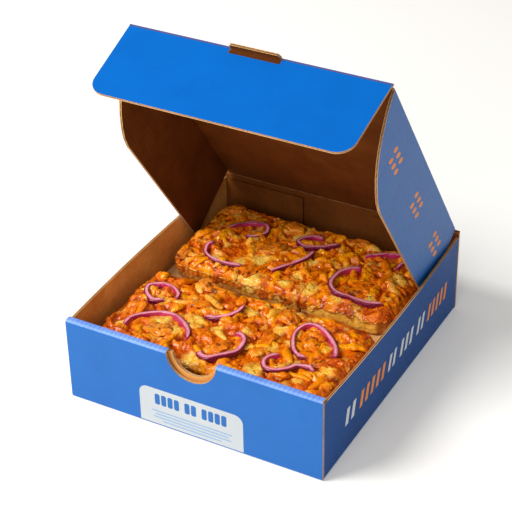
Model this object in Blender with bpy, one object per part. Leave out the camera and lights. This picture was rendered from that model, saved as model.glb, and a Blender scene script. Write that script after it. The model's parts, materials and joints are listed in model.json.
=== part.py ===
"""Square-cut chicken and red onion pizza in an open corrugated takeaway box.

Units are metres, +Z is up, the open front of the box looks along -Y and the
lid is hinged on the back wall.  Every node is one closed solid.
"""
import math
import random

import bmesh
import bpy
from mathutils import Vector

MM = 0.001

# ---- driving dimensions (millimetres) ---------------------------------------
BOX_W = 210.0            # outside width of the tray, left to right
BOX_D = 238.8            # outside depth of the tray, front to back
BOARD = 1.9              # thickness of the fine-flute corrugated board
GAP = 0.3                # clearance between meshes that touch in reality

FRONT_TOP = 70.8         # top of the rolled-over front wall
SIDE_TOP = 67.6          # side walls are cut a little lower
FRONT_THICK = 6.0        # outer panel, hollow and inner panel together
FOLD_IN_LEFT = 0.6       # the rolled fold stops short of the panel's ends
FOLD_IN_RIGHT = 1.4
HINGE_Z = 72.0           # height of the fold between back wall and lid
BOW = 3.0                # outward bow of the side walls at their top middle
BOW_POWER = 1.6          # how late it grows towards the top

NOTCH_X = 0.8            # centre of the thumb notch
NOTCH_R = 20.5           # radius of the notch in the outer panel
NOTCH_R_IN = 17.3        # and in the inner panel

DUST_INNER = 31.0        # where the back dust flaps end, from the middle
DUST_TOP = 67.0

LID_ANGLE = 55.1         # lid opening, counted from closed
LID_W = 205.0
LID_LEN = 230.5          # from the hinge axis to the flap's fold axis
TAB_W = 39.0             # locking tab left standing in the fold
TAB_LEN = 6.4
FLAP_ANGLE = 75.2        # front flap, counted from flat with the lid
FLAP_LEN = 66.7
FLAP_R = 13.0            # rounded lower corners of the flap
FLAP_TAPER = 1.5         # its lower end is this much narrower on each side
FLAP_HOLE_DEEP = 5.5
TAB_GAP = 0.7            # between the tab and the sides of its hole
EAR_DEPTH = 64.5         # side ears that drop inside the side walls

RISER_W = 200.4          # folded card insert the food stands on
RISER_Y0, RISER_Y1 = -104.0, 112.0
RISER_TOP = 35.0

DOUGH_H = 11.0
CHEESE_H = 2.0
TOPPING_H = 4.6
ONION_H = 4.0

HALF_W = BOX_W / 2
HALF_D = BOX_D / 2
HALF_B = BOARD / 2
HINGE_Y = HALF_D - HALF_B


# ---- helpers ------------------------------------------------------------------
for old in list(bpy.data.objects):
    bpy.data.objects.remove(old, do_unlink=True)


def material(name, rgb, rough):
    mat = bpy.data.materials.new(name)
    mat.use_nodes = True
    bsdf = mat.node_tree.nodes["Principled BSDF"]
    bsdf.inputs["Base Color"].default_value = (rgb[0], rgb[1], rgb[2], 1.0)
    bsdf.inputs["Roughness"].default_value = rough
    return mat


def add_mesh(name, verts, faces, rgb, rough=0.6):
    """One object from millimetre vertices, normals turned outwards."""
    mesh = bpy.data.meshes.new(name)
    mesh.from_pydata([Vector(v) * MM for v in verts], [], faces)
    bm = bmesh.new()
    bm.from_mesh(mesh)
    bmesh.ops.recalc_face_normals(bm, faces=bm.faces)
    bm.to_mesh(mesh)
    bm.free()
    obj = bpy.data.objects.new(name, mesh)
    bpy.context.scene.collection.objects.link(obj)
    obj.data.materials.append(material("mat_" + name, rgb, rough))
    return obj


def loft(name, rings, rgb, rough=0.6):
    """Closed solid through equal-length closed rings, capped at both ends."""
    n = len(rings[0])
    verts = [p for ring in rings for p in ring]
    faces = []
    for k in range(len(rings) - 1):
        for i in range(n):
            j = (i + 1) % n
            faces.append((k * n + i, k * n + j, (k + 1) * n + j, (k + 1) * n + i))
    faces.append(tuple(range(n))[::-1])
    last = (len(rings) - 1) * n
    faces.append(tuple(last + i for i in range(n)))
    return add_mesh(name, verts, faces, rgb, rough)


def slab(name, lo, hi, rgb, rough=0.6):
    ring = [(lo[0], lo[1]), (hi[0], lo[1]), (hi[0], hi[1]), (lo[0], hi[1])]
    return loft(name, [[(x, y, z) for x, y in ring] for z in (lo[2], hi[2])],
                rgb, rough)


def arc(cx, cy, r, a0, a1, n):
    """Points on a circle between two angles in degrees, ends included."""
    out = []
    for i in range(n + 1):
        a = math.radians(a0 + (a1 - a0) * i / n)
        out.append((cx + r * math.cos(a), cy + r * math.sin(a)))
    return out


def lid_point(x, s, n):
    """Lid frame to box frame: s runs from the hinge, n is the outer normal."""
    a = math.radians(LID_ANGLE)
    return (x, HINGE_Y - s * math.cos(a) + n * math.sin(a),
            HINGE_Z + s * math.sin(a) + n * math.cos(a))


def flap_point(x, m, w):
    """Flap frame to box frame: m runs from the fold axis, w is outwards."""
    a = math.radians(FLAP_ANGLE)
    s = LID_LEN + m * math.cos(a) + w * math.sin(a)
    n = -m * math.sin(a) + w * math.cos(a)
    return lid_point(x, s, n)


BLUE = (0.03, 0.16, 0.55)
KRAFT = (0.38, 0.20, 0.09)
CARD = (0.62, 0.42, 0.22)
DOUGH = (0.78, 0.50, 0.18)
CHEESE = (0.90, 0.66, 0.25)
TOPPING = (0.80, 0.28, 0.03)
CHICKEN = (0.86, 0.36, 0.04)
ONION = (0.45, 0.03, 0.20)


# ---- tray -----------------------------------------------------------------------
slab("box_floor",
     (-HALF_W + BOARD + GAP, -HALF_D + BOARD + GAP, 0.0),
     (HALF_W - BOARD - GAP, HALF_D - BOARD - GAP, BOARD), KRAFT)


def notched_panel(name, half, z0, z1, notch_r, y0, y1, rgb):
    """Upright panel with a round notch let into its top edge."""
    drop = FRONT_TOP - z1
    a = math.degrees(math.asin(drop / notch_r))
    cut = arc(NOTCH_X, FRONT_TOP, notch_r, -a, -180.0 + a, 16)
    outline = [(-half, z0), (half, z0), (half, z1)] + cut + [(-half, z1)]
    return loft(name, [[(x, y, z) for x, z in outline] for y in (y0, y1)], rgb)


STRIP_Z = FRONT_TOP - BOARD
notched_panel("front_panel", HALF_W, 0.0, STRIP_Z - GAP, NOTCH_R,
              -HALF_D, -HALF_D + BOARD, BLUE)
notched_panel("front_inner_panel", HALF_W - BOARD - GAP, BOARD + GAP,
              STRIP_Z - GAP, NOTCH_R_IN,
              -HALF_D + FRONT_THICK - BOARD, -HALF_D + FRONT_THICK, KRAFT)
slab("front_fold_left", (-HALF_W + FOLD_IN_LEFT, -HALF_D, STRIP_Z),
     (NOTCH_X - NOTCH_R, -HALF_D + FRONT_THICK, FRONT_TOP), BLUE)
slab("front_fold_right", (NOTCH_X + NOTCH_R, -HALF_D, STRIP_Z),
     (HALF_W - FOLD_IN_RIGHT, -HALF_D + FRONT_THICK, FRONT_TOP), BLUE)


def side_wall(name, side):
    """Side wall between front and back panels, its top bowed outwards."""
    y0, y1 = -HALF_D + BOARD + GAP, HALF_D - BOARD - GAP
    ny, nz = 14, 4

    def out(y, z):
        u = y / y1
        return BOW * (z / SIDE_TOP) ** BOW_POWER * (1.0 - u * u)

    def grid(x_base):
        return [[(side * (x_base + out(y0 + (y1 - y0) * i / ny, SIDE_TOP * k / nz)),
                  y0 + (y1 - y0) * i / ny, SIDE_TOP * k / nz)
                 for i in range(ny + 1)] for k in range(nz + 1)]

    outer, inner = grid(HALF_W), grid(HALF_W - BOARD)
    verts, faces = [], []
    for g in (outer, inner):
        for row in g:
            verts.extend(row)
    nn = ny + 1
    base = nn * (nz + 1)

    def vid(layer, k, i):
        return layer * base + k * nn + i

    for k in range(nz):
        for i in range(ny):
            for layer in (0, 1):
                faces.append((vid(layer, k, i), vid(layer, k, i + 1),
                              vid(layer, k + 1, i + 1), vid(layer, k + 1, i)))
    for i in range(ny):
        for k in (0, nz):
            faces.append((vid(0, k, i), vid(0, k, i + 1),
                          vid(1, k, i + 1), vid(1, k, i)))
    for k in range(nz):
        for i in (0, ny):
            faces.append((vid(0, k, i), vid(0, k + 1, i),
                          vid(1, k + 1, i), vid(1, k, i)))
    return add_mesh(name, verts, faces, BLUE)


side_wall("side_wall_left", -1.0)
side_wall("side_wall_right", 1.0)

# back wall, its top rounded about the lid's fold line
profile = [(HALF_D - BOARD, 0.0), (HALF_D, 0.0)] + \
    arc(HINGE_Y, HINGE_Z, HALF_B, 0.0, 180.0, 12)
loft("back_wall", [[(x, y, z) for y, z in profile] for x in (-HALF_W, HALF_W)],
     BLUE)

dust_y1 = HALF_D - BOARD - GAP
for tag, x0, x1 in (("left", -HALF_W + BOARD + GAP, -DUST_INNER),
                    ("right", DUST_INNER, HALF_W - BOARD - GAP)):
    slab("dust_flap_" + tag, (x0, dust_y1 - BOARD, BOARD + GAP),
         (x1, dust_y1, DUST_TOP), KRAFT)

# ---- card insert under the food -------------------------------------------------
half_r = RISER_W / 2
slab("insert_panel", (-half_r, RISER_Y0, RISER_TOP - BOARD),
     (half_r, RISER_Y1, RISER_TOP), CARD)
for tag, x0 in (("left", -half_r), ("right", half_r - BOARD)):
    slab("insert_leg_" + tag, (x0, RISER_Y0, BOARD + GAP),
         (x0 + BOARD, RISER_Y1, RISER_TOP - BOARD - GAP), CARD)

# ---- lid ---------------------------------------------------------------------------
half_l = LID_W / 2
half_t = TAB_W / 2
s0, s1 = HALF_B + GAP, LID_LEN - GAP
outline = [(-half_l, s0), (half_l, s0), (half_l, s1), (half_t, s1),
           (half_t, s1 + TAB_LEN * 0.55), (half_t - 1.6, s1 + TAB_LEN),
           (-half_t, s1 + TAB_LEN), (-half_t, s1), (-half_l, s1)]
loft("lid_panel", [[lid_point(x, s, n) for x, s in outline]
                   for n in (-HALF_B, HALF_B)], BLUE)

half_f0 = half_l - GAP
half_f1 = half_f0 - FLAP_TAPER
m0, m1 = HALF_B + GAP + 0.05, FLAP_LEN
hole = half_t + TAB_GAP
outline = [(-half_f0, m0), (-hole, m0), (-hole, FLAP_HOLE_DEEP),
           (hole, FLAP_HOLE_DEEP), (hole, m0), (half_f0, m0)]
outline += arc(half_f1 - FLAP_R, m1 - FLAP_R, FLAP_R, 0.0, 90.0, 8)
outline += arc(-half_f1 + FLAP_R, m1 - FLAP_R, FLAP_R, 90.0, 180.0, 8)
loft("front_flap", [[flap_point(x, m, w) for x, m in outline]
                    for w in (-HALF_B, HALF_B)], BLUE)

ear_top = -HALF_B - GAP
ear = [(5.0, ear_top), (224.5, ear_top), (222.8, -9.7), (219.0, -19.0),
       (213.5, -29.0), (207.5, -38.0), (200.5, -46.0), (192.0, -53.0),
       (183.0, -58.5), (174.0, -62.5), (164.0, -EAR_DEPTH), (14.0, -EAR_DEPTH),
       (9.0, -EAR_DEPTH + 2.0), (7.0, -EAR_DEPTH + 7.0)]
for tag, x0, x1 in (("left", -half_l, -half_l + BOARD),
                    ("right", half_l - BOARD, half_l)):
    loft("lid_ear_" + tag, [[lid_point(x, s, n) for s, n in ear]
                            for x in (x0, x1)], KRAFT)

# ---- food ----------------------------------------------------------------------------
FOOD_Z = RISER_TOP + GAP


def outline_of(x0, x1, y0, y1, rough, seed, corner=5.0, n=44):
    """Closed outline of a cut slice: a rounded rectangle with uneven edges."""
    rng = random.Random(seed)
    waves = [(rng.uniform(2, 9), rng.uniform(0, 6.28), rng.uniform(0.3, 1.0))
             for _ in range(5)]
    pts = []
    per = 2 * ((x1 - x0) + (y1 - y0))
    for i in range(n):
        d = per * i / n
        if d < x1 - x0:
            p = (x0 + d, y0)
        elif d < (x1 - x0) + (y1 - y0):
            p = (x1, y0 + d - (x1 - x0))
        elif d < 2 * (x1 - x0) + (y1 - y0):
            p = (x1 - (d - (x1 - x0) - (y1 - y0)), y1)
        else:
            p = (x0, y1 - (d - 2 * (x1 - x0) - (y1 - y0)))
        cx = min(max(p[0], x0 + corner), x1 - corner)
        cy = min(max(p[1], y0 + corner), y1 - corner)
        v = Vector((p[0] - cx, p[1] - cy))
        if v.length > corner:
            v = v.normalized() * corner
        t = 6.2832 * i / n
        w = sum(a * math.sin(round(f) * t + ph) for f, ph, a in waves) / 3.0
        inward = Vector((cx - (x0 + x1) / 2, cy - (y0 + y1) / 2)).normalized()
        shift = rough * (0.5 + 0.5 * w)
        pts.append((cx + v.x - inward.x * shift, cy + v.y - inward.y * shift))
    return pts


def shrink(pts, d):
    """Move an outline towards its middle by about d."""
    cx = sum(p[0] for p in pts) / len(pts)
    cy = sum(p[1] for p in pts) / len(pts)
    hx = max(p[0] for p in pts) - cx
    hy = max(p[1] for p in pts) - cy
    return [(cx + (p[0] - cx) * (1 - d / hx), cy + (p[1] - cy) * (1 - d / hy))
            for p in pts]


SLICES = {               # tag: x0, x1, y0, y1, seed
    "back_left": (-95.0, 19.6, 9.0, 101.0, 11),
    "back_right": (21.2, 94.0, 8.5, 100.0, 12),
    "front_left": (-94.0, 19.6, -102.5, -8.0, 13),
    "front_right": (21.2, 95.0, -102.0, -7.5, 14),
}
for tag, (x0, x1, y0, y1, seed) in SLICES.items():
    z = FOOD_Z
    base = outline_of(x0, x1, y0, y1, 1.4, seed)
    lower = [(x, y, z) for x, y in shrink(base, 0.6)]
    rings = [lower, [(x, y, z + 2.0) for x, y in base],
             [(x, y, z + DOUGH_H - 2.0) for x, y in shrink(base, 0.5)],
             [(x, y, z + DOUGH_H) for x, y in shrink(base, 1.4)]]
    loft("dough_" + tag, rings, DOUGH, 0.7)
    z += DOUGH_H + GAP
    cheese = shrink(base, 1.0)
    loft("cheese_" + tag, [[(x, y, z) for x, y in shrink(cheese, 0.3)],
                           [(x, y, z + CHEESE_H * 0.5) for x, y in cheese],
                           [(x, y, z + CHEESE_H) for x, y in shrink(cheese, 0.6)]],
         CHEESE, 0.4)
    z += CHEESE_H + GAP
    top = shrink(base, 1.6)
    loft("topping_" + tag, [[(x, y, z) for x, y in top],
                            [(x, y, z + TOPPING_H * 0.6) for x, y in shrink(top, 0.5)],
                            [(x, y, z + TOPPING_H) for x, y in shrink(top, 3.0)]],
         TOPPING, 0.4)
TOP_Z = FOOD_Z + DOUGH_H + CHEESE_H + TOPPING_H + 3 * GAP

# each onion slice: name, thickness, points on its middle line
ONIONS = [
    ("front_a", 3.6, [(-66, -46), (-75, -49), (-84, -43), (-86, -34), (-77, -29),
                      (-68, -30), (-60, -35), (-58, -41)]),
    ("front_b", 3.2, [(-75, -87), (-75, -77), (-70, -68), (-60, -61), (-49, -61),
                      (-38, -66), (-30, -73), (-26, -80)]),
    ("front_c", 3.8, [(-28, -48), (-20, -49), (-13, -45), (-8, -37), (-6, -28)]),
    ("front_d", 4.2, [(3, -59), (9, -60), (14, -66), (15, -75), (13, -83), (6, -91),
                      (0, -95), (-7, -93), (-9, -89)]),
    ("front_e", 3.4, [(80, -51), (75, -41), (66, -31), (56, -25), (47, -25), (42, -32),
                      (43, -43), (49, -55), (56, -62), (63, -63)]),
    ("front_f", 3.4, [(44, -67), (39, -72), (38, -80), (43, -87), (51, -87), (58, -81),
                      (62, -74), (70, -72), (76, -75)]),
    ("back_a", 3.4, [(-70, 61), (-67, 69), (-61, 76), (-52, 80), (-43, 77), (-40, 69),
                     (-46, 62), (-54, 61)]),
    ("back_b", 3.6, [(-71, 40), (-74, 35), (-71, 26), (-63, 20), (-55, 19), (-46, 21),
                     (-38, 24)]),
    ("back_c", 3.2, [(3, 86), (-6, 85), (-12, 78), (-12, 70), (-4, 67), (6, 71),
                     (15, 76), (20, 81)]),
    ("back_d", 3.2, [(5, 64), (6, 56), (3, 47), (-3, 39), (-9, 32), (-13, 27)]),
    ("back_e", 3.6, [(49, 59), (41, 55), (36, 48), (35, 37), (38, 26), (46, 19),
                     (57, 19), (70, 19), (83, 24)]),
    ("back_f", 3.0, [(45, 75), (50, 80), (59, 86), (69, 89)]),
    ("back_g", 3.0, [(73, 73), (74, 80), (76, 86)]),
]
ONION_STEP = 4.2         # distance between the sections of a slice


def onion_path(points):
    """Smooth line through the points, sampled about every ONION_STEP."""
    p = [Vector(q) for q in points]
    p = [2 * p[0] - p[1]] + p + [2 * p[-1] - p[-2]]
    path = []
    for i in range(1, len(p) - 2):
        before, start, end, after = p[i - 1:i + 3]
        n = max(1, round((end - start).length / ONION_STEP))
        for k in range(n):
            t = k / n
            path.append(0.5 * (2 * start + (end - before) * t
                               + (2 * before - 5 * start + 4 * end - after) * t * t
                               + (3 * start - before - 3 * end + after) * t ** 3))
    return path + [p[-2]]


def band(name, pts, z0, thick, high, rgb):
    """Curved strip standing on edge: a slice through one onion layer."""
    rings = []
    n = len(pts)
    for i, p in enumerate(pts):
        d = (pts[min(i + 1, n - 1)] - pts[max(i - 1, 0)]).normalized()
        side = Vector((-d.y, d.x))
        end = 0.62 if i in (0, n - 1) else 1.0
        h, w = high * (0.8 + 0.2 * end), thick * end / 2
        ring = [(-w * 0.7, 0), (w * 0.7, 0), (w, h * 0.5), (w * 0.75, h),
                (-w * 0.75, h), (-w, h * 0.5)]
        rings.append([(p.x + side.x * a, p.y + side.y * a, z0 + b)
                      for a, b in ring])
    return loft(name, rings, rgb, 0.3)


for tag, thick, points in ONIONS:
    band("onion_" + tag, onion_path(points), TOP_Z, thick, ONION_H, ONION)

# larger pieces of chicken: x, y, length, width, height, turn
CHICKEN_PIECES = [
    (2, -77, 18, 12, 7.0, 65), (75, -64, 13, 8, 6.0, 12),
    (-37, -40, 17, 10, 6.0, 25), (-43, -14, 26, 12, 6.0, -12),
    (27, -22, 24, 13, 6.5, -25), (58, -43, 18, 13, 6.5, -45),
    (-50, -80, 24, 13, 6.0, 10), (28, -54, 20, 11, 6.0, 75),
    (-80, 88, 20, 13, 7.0, 15), (-26, 91, 24, 12, 6.5, -8),
    (-27, 54, 24, 14, 6.5, 35), (-28, 20, 18, 11, 6.5, 80),
    (21, 40, 22, 11, 6.0, 70), (60, 37, 22, 12, 6.5, 45),
    (30, 93, 20, 10, 6.5, 10), (-86, 17, 16, 10, 6.0, 80),
]


def chunk(name, x, y, length, width, height, turn, seed):
    """Irregular piece with a flat underside, standing on the topping."""
    rng = random.Random(seed)
    bm = bmesh.new()
    bmesh.ops.create_icosphere(bm, subdivisions=2, radius=1.0)
    t = math.radians(turn)
    lobes = [(Vector((rng.uniform(-1, 1), rng.uniform(-1, 1), rng.uniform(-1, 1))),
              rng.uniform(-0.16, 0.16)) for _ in range(5)]
    for v in bm.verts:
        p = v.co.normalized()
        k = 0.93 + sum(a * math.sin(3.0 * p.dot(d) + 7.0 * a) for d, a in lobes)
        q = Vector((p.x * length / 2 * k, p.y * width / 2 * k,
                    p.z * height * 0.62 * k + height * 0.40))
        q.z = min(max(q.z, 0.0), height)
        v.co = Vector((x + q.x * math.cos(t) - q.y * math.sin(t),
                       y + q.x * math.sin(t) + q.y * math.cos(t),
                       TOP_Z + q.z))
    verts = [tuple(v.co) for v in bm.verts]
    faces = [tuple(v.index for v in f.verts) for f in bm.faces]
    bm.free()
    return add_mesh(name, verts, faces, CHICKEN, 0.45)


for i, (x, y, length, width, height, turn) in enumerate(CHICKEN_PIECES):
    chunk("chicken_%02d" % (i + 1), x, y, length, width, height, turn, 40 + i)
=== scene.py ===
"""Looks of a chicken and red onion pizza in an open corrugated takeaway box.

Lengths are in millimetres until a mesh is made; +Z is up and the box opens
towards -Y.
"""

import json
import math

import bpy
import numpy as np
from mathutils import Matrix, Vector


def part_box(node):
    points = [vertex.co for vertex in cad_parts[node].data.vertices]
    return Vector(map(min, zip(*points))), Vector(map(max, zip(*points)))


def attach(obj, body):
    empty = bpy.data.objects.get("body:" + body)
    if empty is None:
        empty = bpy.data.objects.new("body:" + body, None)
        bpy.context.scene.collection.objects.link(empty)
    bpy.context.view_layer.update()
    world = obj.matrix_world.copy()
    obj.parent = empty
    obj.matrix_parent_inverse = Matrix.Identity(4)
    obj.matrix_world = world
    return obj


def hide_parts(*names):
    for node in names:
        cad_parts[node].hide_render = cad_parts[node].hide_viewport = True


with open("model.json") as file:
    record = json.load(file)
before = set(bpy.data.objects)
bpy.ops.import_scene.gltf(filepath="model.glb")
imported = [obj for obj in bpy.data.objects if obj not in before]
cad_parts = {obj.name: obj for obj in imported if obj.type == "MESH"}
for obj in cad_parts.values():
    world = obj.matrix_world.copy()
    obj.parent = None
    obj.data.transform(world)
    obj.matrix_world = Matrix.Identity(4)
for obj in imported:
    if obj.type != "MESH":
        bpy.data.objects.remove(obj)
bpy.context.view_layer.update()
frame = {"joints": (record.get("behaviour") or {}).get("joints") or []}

MM = 0.001

# ---- sizes read from the frame ----------------------------------------------


def box_mm(node):
    lo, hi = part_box(node)
    return np.array(lo) / MM, np.array(hi) / MM


FRONT_LO, FRONT_HI = box_mm("front_panel")
HALF_W = FRONT_HI[0]
HALF_D = -FRONT_LO[1]
FRONT_TOP = box_mm("front_fold_left")[1][2]
SIDE_TOP = box_mm("side_wall_left")[1][2]
BOW = box_mm("side_wall_right")[1][0] - HALF_W
FRONT_BACK = box_mm("front_inner_panel")[1][1]
DUST_LO, DUST_HI = box_mm("dust_flap_right")
INSERT_LO, INSERT_HI = box_mm("insert_panel")
HALF_L = box_mm("lid_panel")[1][0]
HINGE = np.array(frame["joints"][0]["pos_m"]) / MM
FOLD = np.array(frame["joints"][1]["pos_m"]) / MM
DOUGH_Z = box_mm("dough_back_left")[0][2]
CHEESE_Z = box_mm("cheese_back_left")[0][2]
TOPPING_Z = box_mm("topping_back_left")[0][2]
LID_LEN = float(np.hypot(*(FOLD - HINGE)[1:]))

# ---- sizes of the board -------------------------------------------------------
BOARD = 1.9              # fine-flute board
LINER = 0.28             # its two flat papers
MEDIUM = 0.2             # the wavy paper between them
PITCH = 3.7              # one flute
HALF_B = BOARD / 2
NOTCH_X = 0.8
NOTCH_R = 20.5
NOTCH_R_IN = 17.3
TAB_HALF = 19.5
TAB_LEN = 6.4
FLAP_TURN = math.radians(75.2)
FLAP_LEN = 66.7
FLAP_R = 13.0
FLAP_HOLE = 5.5
FLAP_TAPER = 1.8         # narrower by this at each side of its free edge
EAR_DEPTH = 64.5
FOLD_CLEAR = 0.95        # the boards stop this short of a fold's axis
EDGE_GAP = 0.3           # and this short of the board beside them
TAB_GAP = 0.7            # room at each side of the locking tab
EAR_START = 5.0          # the ears' folds along the lid, from the hinge
EAR_END = 224.5
BOW_RISE = 1.6           # how the side walls' bow grows towards their top
SIDE_REACH = HALF_D - BOARD - EDGE_GAP

# ---- lid and flap directions --------------------------------------------------
lid_along = (FOLD - HINGE) / LID_LEN
lid_out = np.array([0.0, -lid_along[2], lid_along[1]])
if lid_out[2] < 0:
    lid_out = -lid_out
flap_along = lid_along * math.cos(FLAP_TURN) - lid_out * math.sin(FLAP_TURN)
flap_out = lid_along * math.sin(FLAP_TURN) + lid_out * math.cos(FLAP_TURN)
X_AXIS = np.array([1.0, 0.0, 0.0])


# ---- noise ----------------------------------------------------------------------
def lattice(x, y, z, seed):
    """Repeatable pseudo-random numbers from 0 to 1 on whole-number points."""
    h = (x * 374761393 + y * 668265263 + z * 1442695041 + seed * 974634777)
    h = h.astype(np.uint64) & np.uint64(0xFFFFFFFF)
    h = ((h ^ (h >> np.uint64(13))) * np.uint64(1274126177)) & np.uint64(0xFFFFFFFF)
    h = ((h ^ (h >> np.uint64(16))) * np.uint64(2246822519)) & np.uint64(0xFFFFFFFF)
    return (h ^ (h >> np.uint64(15))).astype(float) / 4294967295.0


def noise(x, y, z=0.0, seed=0):
    """Smooth noise from -1 to 1 with features about one unit across."""
    x, y, z = np.broadcast_arrays(*(np.asarray(c, float) for c in (x, y, z)))
    ix, iy, iz = (np.floor(c).astype(np.int64) for c in (x, y, z))
    fx, fy, fz = x - ix, y - iy, z - iz
    fx, fy, fz = (f * f * (3 - 2 * f) for f in (fx, fy, fz))
    total = 0.0
    for dx in (0, 1):
        for dy in (0, 1):
            for dz in (0, 1):
                weight = ((fx if dx else 1 - fx) * (fy if dy else 1 - fy)
                          * (fz if dz else 1 - fz))
                total = total + weight * lattice(ix + dx, iy + dy, iz + dz, seed)
    return 2 * total - 1


def fractal(x, y, z=0.0, seed=0, octaves=3):
    total, size, weight = 0.0, 1.0, 0.0
    for k in range(octaves):
        total = total + noise(x * size, y * size, z * size, seed + k) / size
        weight += 1.0 / size
        size *= 2.0
    return total / weight


def smooth(lo, hi, value):
    t = np.clip((value - lo) / (hi - lo), 0.0, 1.0)
    return t * t * (3 - 2 * t)


# ---- meshes ---------------------------------------------------------------------
class Builder:
    """Collects vertices, faces, material numbers, UVs and point values."""

    def __init__(self):
        self.verts = []
        self.uvs = []
        self.values = []
        self.faces = []
        self.mats = []
        self.count = 0

    def points(self, xyz, uv=None, value=None):
        xyz = np.asarray(xyz, float).reshape(-1, 3)
        n = len(xyz)
        uv = np.zeros((n, 2)) if uv is None else np.asarray(uv, float).reshape(-1, 2)
        if value is None:
            value = np.zeros((n, 3))
        value = np.broadcast_to(np.asarray(value, float), (n, 3))
        self.verts.append(xyz)
        self.uvs.append(uv)
        self.values.append(value)
        first = self.count
        self.count += n
        return first

    def quads(self, first, rows, cols, mat=0, closed=False, flip=False):
        """Faces of a grid of points stored row by row."""
        r = np.arange(rows - 1)[:, None]
        c = np.arange(cols if closed else cols - 1)[None, :]
        a = first + r * cols + c
        b = first + r * cols + (c + 1) % cols
        d = a + cols
        e = b + cols
        quad = np.stack([a, b, e, d], axis=-1).reshape(-1, 4)
        if flip:
            quad = quad[:, ::-1]
        self.faces.extend(quad.tolist())
        self.mats.extend([mat] * len(quad))

    def face(self, ids, mat=0):
        self.faces.append([int(i) for i in ids])
        self.mats.append(mat)

    def build(self, name, materials, smooth_angle=40.0):
        verts = np.concatenate(self.verts) * MM
        mesh = bpy.data.meshes.new(name)
        mesh.from_pydata(verts.tolist(), [], self.faces)
        mesh.polygons.foreach_set("material_index", self.mats)
        mesh.polygons.foreach_set("use_smooth", [True] * len(mesh.polygons))
        for mat in materials:
            mesh.materials.append(mat)
        corner = np.zeros(len(mesh.loops), np.int32)
        mesh.loops.foreach_get("vertex_index", corner)
        layer = mesh.uv_layers.new(name="board")
        uv = np.concatenate(self.uvs)[corner]
        layer.data.foreach_set("uv", uv.astype(np.float32).ravel())
        marks = mesh.attributes.new("marks", "FLOAT_COLOR", "POINT")
        value = np.concatenate(self.values)
        rgba = np.concatenate([value, np.ones((len(value), 1))], axis=1)
        marks.data.foreach_set("color", rgba.astype(np.float32).ravel())
        mesh.validate()
        mesh.update()
        mesh.set_sharp_from_angle(angle=math.radians(smooth_angle))
        obj = bpy.data.objects.new(name, mesh)
        bpy.context.scene.collection.objects.link(obj)
        return obj


def settle(obj, body, nodes=()):
    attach(obj, body)
    if nodes:
        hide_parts(*nodes)
    return obj


def arc(cx, cy, r, a0, a1, n):
    turn = np.radians(np.linspace(a0, a1, n + 1))
    return [(cx + r * math.cos(t), cy + r * math.sin(t)) for t in turn]


# ---- node materials -----------------------------------------------------------
def srgb(r, g, b):
    """A display colour, 0 to 255, as the linear colour a shader takes."""
    out = []
    for c in (r, g, b):
        c = c / 255.0
        out.append(c / 12.92 if c <= 0.04045 else ((c + 0.055) / 1.055) ** 2.4)
    return (*out, 1.0)


class Nodes:
    """Short calls for wiring one material."""

    def __init__(self, name):
        self.mat = bpy.data.materials.new(name)
        self.mat.use_nodes = True
        self.tree = self.mat.node_tree
        self.bsdf = self.tree.nodes["Principled BSDF"]

    def feed(self, value, socket):
        """Wires another node's output to the socket, or sets a constant on it."""
        if hasattr(value, "is_linked"):
            self.tree.links.new(value, socket)
        else:
            socket.default_value = value

    def new(self, kind, **inputs):
        node = self.tree.nodes.new(kind)
        for key, value in inputs.items():
            self.feed(value, node.inputs[key.replace("_", " ")])
        return node

    def link(self, out, socket):
        self.tree.links.new(out, self.bsdf.inputs[socket])

    def set(self, **inputs):
        for key, value in inputs.items():
            self.bsdf.inputs[key.replace("_", " ")].default_value = value

    def place(self):
        return self.new("ShaderNodeTexCoord").outputs["Object"]

    def stretch(self, scale):
        node = self.new("ShaderNodeMapping", Vector=self.place())
        node.inputs["Scale"].default_value = scale
        return node.outputs["Vector"]

    def noise(self, scale, detail=4.0, rough=0.55, vector=None, warp=0.0):
        node = self.new("ShaderNodeTexNoise", Vector=vector or self.place(),
                        Scale=scale, Detail=detail, Roughness=rough, Distortion=warp)
        return node.outputs["Fac"]

    def ramp(self, fac, *stops):
        node = self.new("ShaderNodeValToRGB", Fac=fac)
        elements = node.color_ramp.elements
        while len(elements) < len(stops):
            elements.new(0.5)
        for element, (at, colour) in zip(elements, stops):
            element.position = at
            element.color = colour
        return node.outputs["Color"]

    def grey(self, fac, *stops):
        return self.ramp(fac, *[(at, (v, v, v, 1.0)) for at, v in stops])

    def math(self, kind, a, b=0.0, clamp=False):
        node = self.tree.nodes.new("ShaderNodeMath")
        node.operation = kind
        node.use_clamp = clamp
        for i, value in enumerate((a, b)):
            self.feed(value, node.inputs[i])
        return node.outputs[0]

    def mix(self, fac, a, b, kind="MIX"):
        node = self.tree.nodes.new("ShaderNodeMix")
        node.data_type = "RGBA"
        node.blend_type = kind
        for i, value in ((0, fac), (6, a), (7, b)):
            self.feed(value, node.inputs[i])
        return node.outputs[2]

    def bump(self, height, strength, distance):
        """Adds relief on top of what is there already."""
        node = self.new("ShaderNodeBump", Height=height, Strength=strength,
                        Distance=distance)
        old = self.bsdf.inputs["Normal"]
        if old.is_linked:
            self.tree.links.new(old.links[0].from_socket, node.inputs["Normal"])
        self.link(node.outputs["Normal"], "Normal")

    def marks(self):
        node = self.tree.nodes.new("ShaderNodeAttribute")
        node.attribute_name = "marks"
        split = self.new("ShaderNodeSeparateColor", Color=node.outputs["Color"])
        return [split.outputs[i] for i in range(3)]

    def across(self):
        """Distance across the flutes, in flutes, from the board's UVs."""
        node = self.tree.nodes.new("ShaderNodeUVMap")
        node.uv_map = "board"
        split = self.new("ShaderNodeSeparateXYZ", Vector=node.outputs["UV"])
        return split.outputs["X"]

    def washboard(self, depth):
        wave = self.math("SINE", self.math("MULTIPLY", self.across(), 2 * math.pi))
        self.bump(wave, 1.0, depth)


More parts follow.
